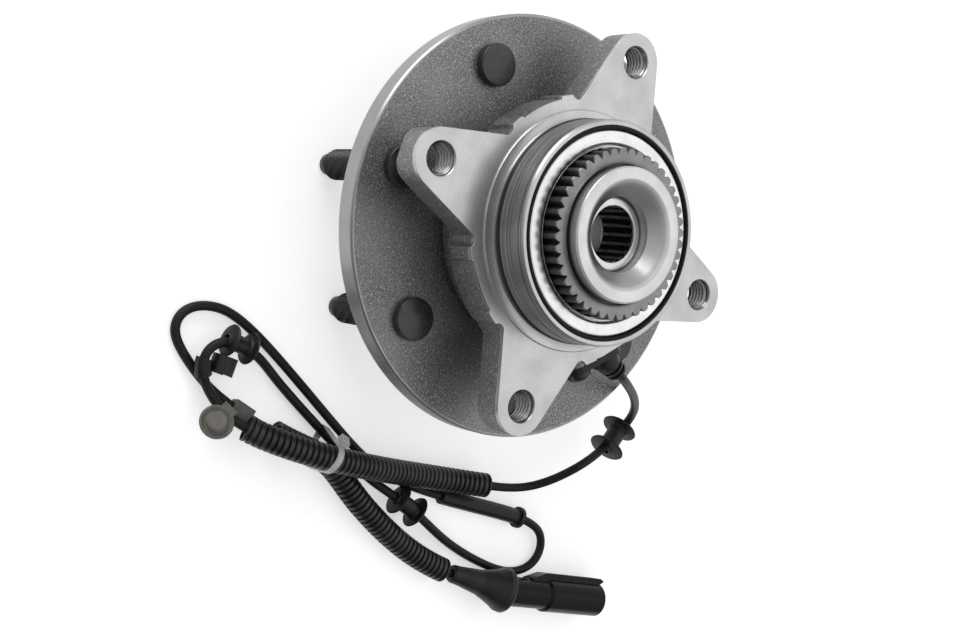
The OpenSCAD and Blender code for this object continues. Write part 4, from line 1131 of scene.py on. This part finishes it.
class HUB_OT_fittings(bpy.types.Operator):
    """Finish the sensor, clips, tie and plug"""

    bl_idname = "hub_unit.fittings"
    bl_label = "Sensor, clips and plug"

    def execute(self, context):
        tints = context.scene.hub_finishes
        paint(
            soft_black("moulded_black", tints.moulding, 0.3, 0.42, dust=2.0),
            "sensor_body", "edge_clip",
        )
        glossy = {"grain_size": 2.0, "depth": 0.006, "dust": 1.1, "specular": 0.14}
        paint(
            soft_black("connector_black", tints.moulding, 0.14, 0.24, **glossy),
            "connector_body", "connector_latch",
        )
        paint(black_steel("screw_black", shade(tints.moulding, 1.1)), "sensor_screw")
        paint(nylon("pin_nylon", tints.pin, rough=0.42), "push_pin_clip")
        paint(nylon("band_grey", tints.band, rough=0.4), "band_clip")
        paint(nylon("tie_nylon", tints.tie, clear=0.3, rough=0.28), "cable_tie")
        brass = bright_metal("brass", tints.brass, 0.2, 0.3, brush=0.0)
        paint(brass, "sensor_sleeve", "connector_terminals")
        return {"FINISHED"}


def lamp(name, direction, distance, size, power):
    """Soft square lamp that looks at the middle of the part."""
    data = bpy.data.lights.new(name, "AREA")
    data.size = size
    data.energy = power
    light = link(name, data)
    away = Vector(direction).normalized()
    light.location = PART_MIDDLE + away * distance
    light.rotation_mode = "QUATERNION"
    light.rotation_quaternion = away.to_track_quat("Z", "Y")


def floor_paper(tint):
    """Pale matt floor that the camera and shiny metal see nearly white."""
    material = bpy.data.materials.new("floor")
    material.use_nodes = True
    nodes = Nodes(material.node_tree)
    nodes.tree.nodes.clear()
    path = nodes.add("ShaderNodeLightPath").outputs
    seen = nodes.math("MAXIMUM", path["Is Camera Ray"], path["Is Glossy Ray"])
    extra = nodes.math("MULTIPLY", path["Is Camera Ray"], FLOOR_LIFT_SEEN)
    lift = nodes.math("MULTIPLY_ADD", seen, FLOOR_LIFT, extra)
    matt = nodes.add("ShaderNodeBsdfDiffuse", {"Color": (*tint, 1.0)})
    glow = nodes.add("ShaderNodeEmission", {"Color": WHITE, "Strength": lift})
    paper = nodes.add("ShaderNodeAddShader", {0: matt.outputs[0], 1: glow.outputs[0]})
    nodes.add("ShaderNodeOutputMaterial", {"Surface": paper.outputs[0]})
    return material


def surroundings(sky, toward):
    """White to the camera, brighter toward one side in shiny metal, and even light elsewhere."""
    dim, bright = 0.096, 0.8
    turned_off, turned_to = -0.65, 0.6
    world = bpy.data.worlds.new("surroundings")
    world.use_nodes = True
    nodes = Nodes(world.node_tree)
    nodes.tree.nodes.clear()
    path = nodes.add("ShaderNodeLightPath").outputs
    seen = nodes.math("MAXIMUM", path["Is Camera Ray"], path["Is Glossy Ray"])
    through = nodes.math("MAXIMUM", seen, path["Is Transmission Ray"])
    terms = {0: nodes.add("ShaderNodeTexCoord").outputs["Generated"], 1: toward}
    facing = nodes.add("ShaderNodeVectorMath", terms, operation="DOT_PRODUCT").outputs["Value"]
    ramp = nodes.spread(facing, dim, bright, turned_off, turned_to, "SMOOTHSTEP")
    strength = nodes.choose(path["Is Camera Ray"], ramp, 1.0)
    even = nodes.add("ShaderNodeBackground", {"Color": WHITE, "Strength": sky})
    pale = nodes.add("ShaderNodeBackground", {"Color": WHITE, "Strength": strength})
    terms = {0: through, 1: even.outputs[0], 2: pale.outputs[0]}
    choice = nodes.add("ShaderNodeMixShader", terms)
    nodes.add("ShaderNodeOutputWorld", {"Surface": choice.outputs[0]})
    return world


class HUB_OT_stage(bpy.types.Operator):
    """Add the floor, the lamps and the pale surroundings"""

    bl_idname = "hub_unit.stage"
    bl_label = "Stage"

    def execute(self, context):
        sizes = context.scene.hub_stage
        ground = cad_box[0].z
        mesh = bpy.data.meshes.new("floor")
        corners = ((-1, -1), (1, -1), (1, 1), (-1, 1))
        mesh.from_pydata(
            [(x * FLOOR_HALF, y * FLOOR_HALF, ground) for x, y in corners], [], [(0, 1, 2, 3)]
        )
        mesh.materials.append(floor_paper(sizes.floor))
        floor = link("floor", mesh)

        up = Vector(CAMERA_UP)
        right = Vector(CAMERA_RIGHT)
        back = Vector(CAMERA_BACK)
        key_side = up * 0.85 + back * 0.55
        lamp("key_lamp", key_side, distance=1.1, size=0.7, power=sizes.key)
        other_side = right * 0.9 + back * 0.35
        lamp("side_lamp", other_side, distance=1.2, size=1.0, power=sizes.side)
        bright_side = (up * 0.6 + right * 0.7 + back * 0.3).normalized()
        context.scene.world = surroundings(sizes.sky, bright_side)
        context.scene.view_settings.view_transform = "Standard"
        return {"FINISHED"}


class HUB_PT_panel(bpy.types.Panel):
    """The hub unit's pieces, in the order in which they are made"""

    bl_idname = "HUB_PT_panel"
    bl_label = "Hub unit"
    bl_space_type = "VIEW_3D"
    bl_region_type = "UI"
    bl_category = "Hub unit"

    def draw(self, context):
        for step in STEPS:
            self.layout.operator(step.bl_idname)


GROUPS = {
    "hub_lead": LeadSizes,
    "hub_looms": LoomSizes,
    "hub_studs": StudSizes,
    "hub_ear_threads": EarThreadSizes,
    "hub_seal": SealSizes,
    "hub_toothed_ring": ToothedRingSizes,
    "hub_forgings": ForgingSizes,
    "hub_finishes": FinishColours,
    "hub_stage": StageSizes,
}
STEPS = (
    HUB_OT_camera, HUB_OT_looms, HUB_OT_lead, HUB_OT_studs, HUB_OT_ear_threads,
    HUB_OT_forgings, HUB_OT_bearing, HUB_OT_toothed_ring, HUB_OT_seal, HUB_OT_rubber,
    HUB_OT_fittings, HUB_OT_stage,
)


def register():
    for group in (*GROUPS.values(), *STEPS, HUB_PT_panel):
        bpy.utils.register_class(group)
    for name, group in GROUPS.items():
        setattr(bpy.types.Scene, name, PointerProperty(type=group))


def unregister():
    for name in GROUPS:
        delattr(bpy.types.Scene, name)
    for group in reversed((*GROUPS.values(), *STEPS, HUB_PT_panel)):
        bpy.utils.unregister_class(group)


def main():
    register()
    for step in STEPS:
        getattr(bpy.ops.hub_unit, step.bl_idname.partition(".")[2])()


if __name__ == "__main__":
    main()
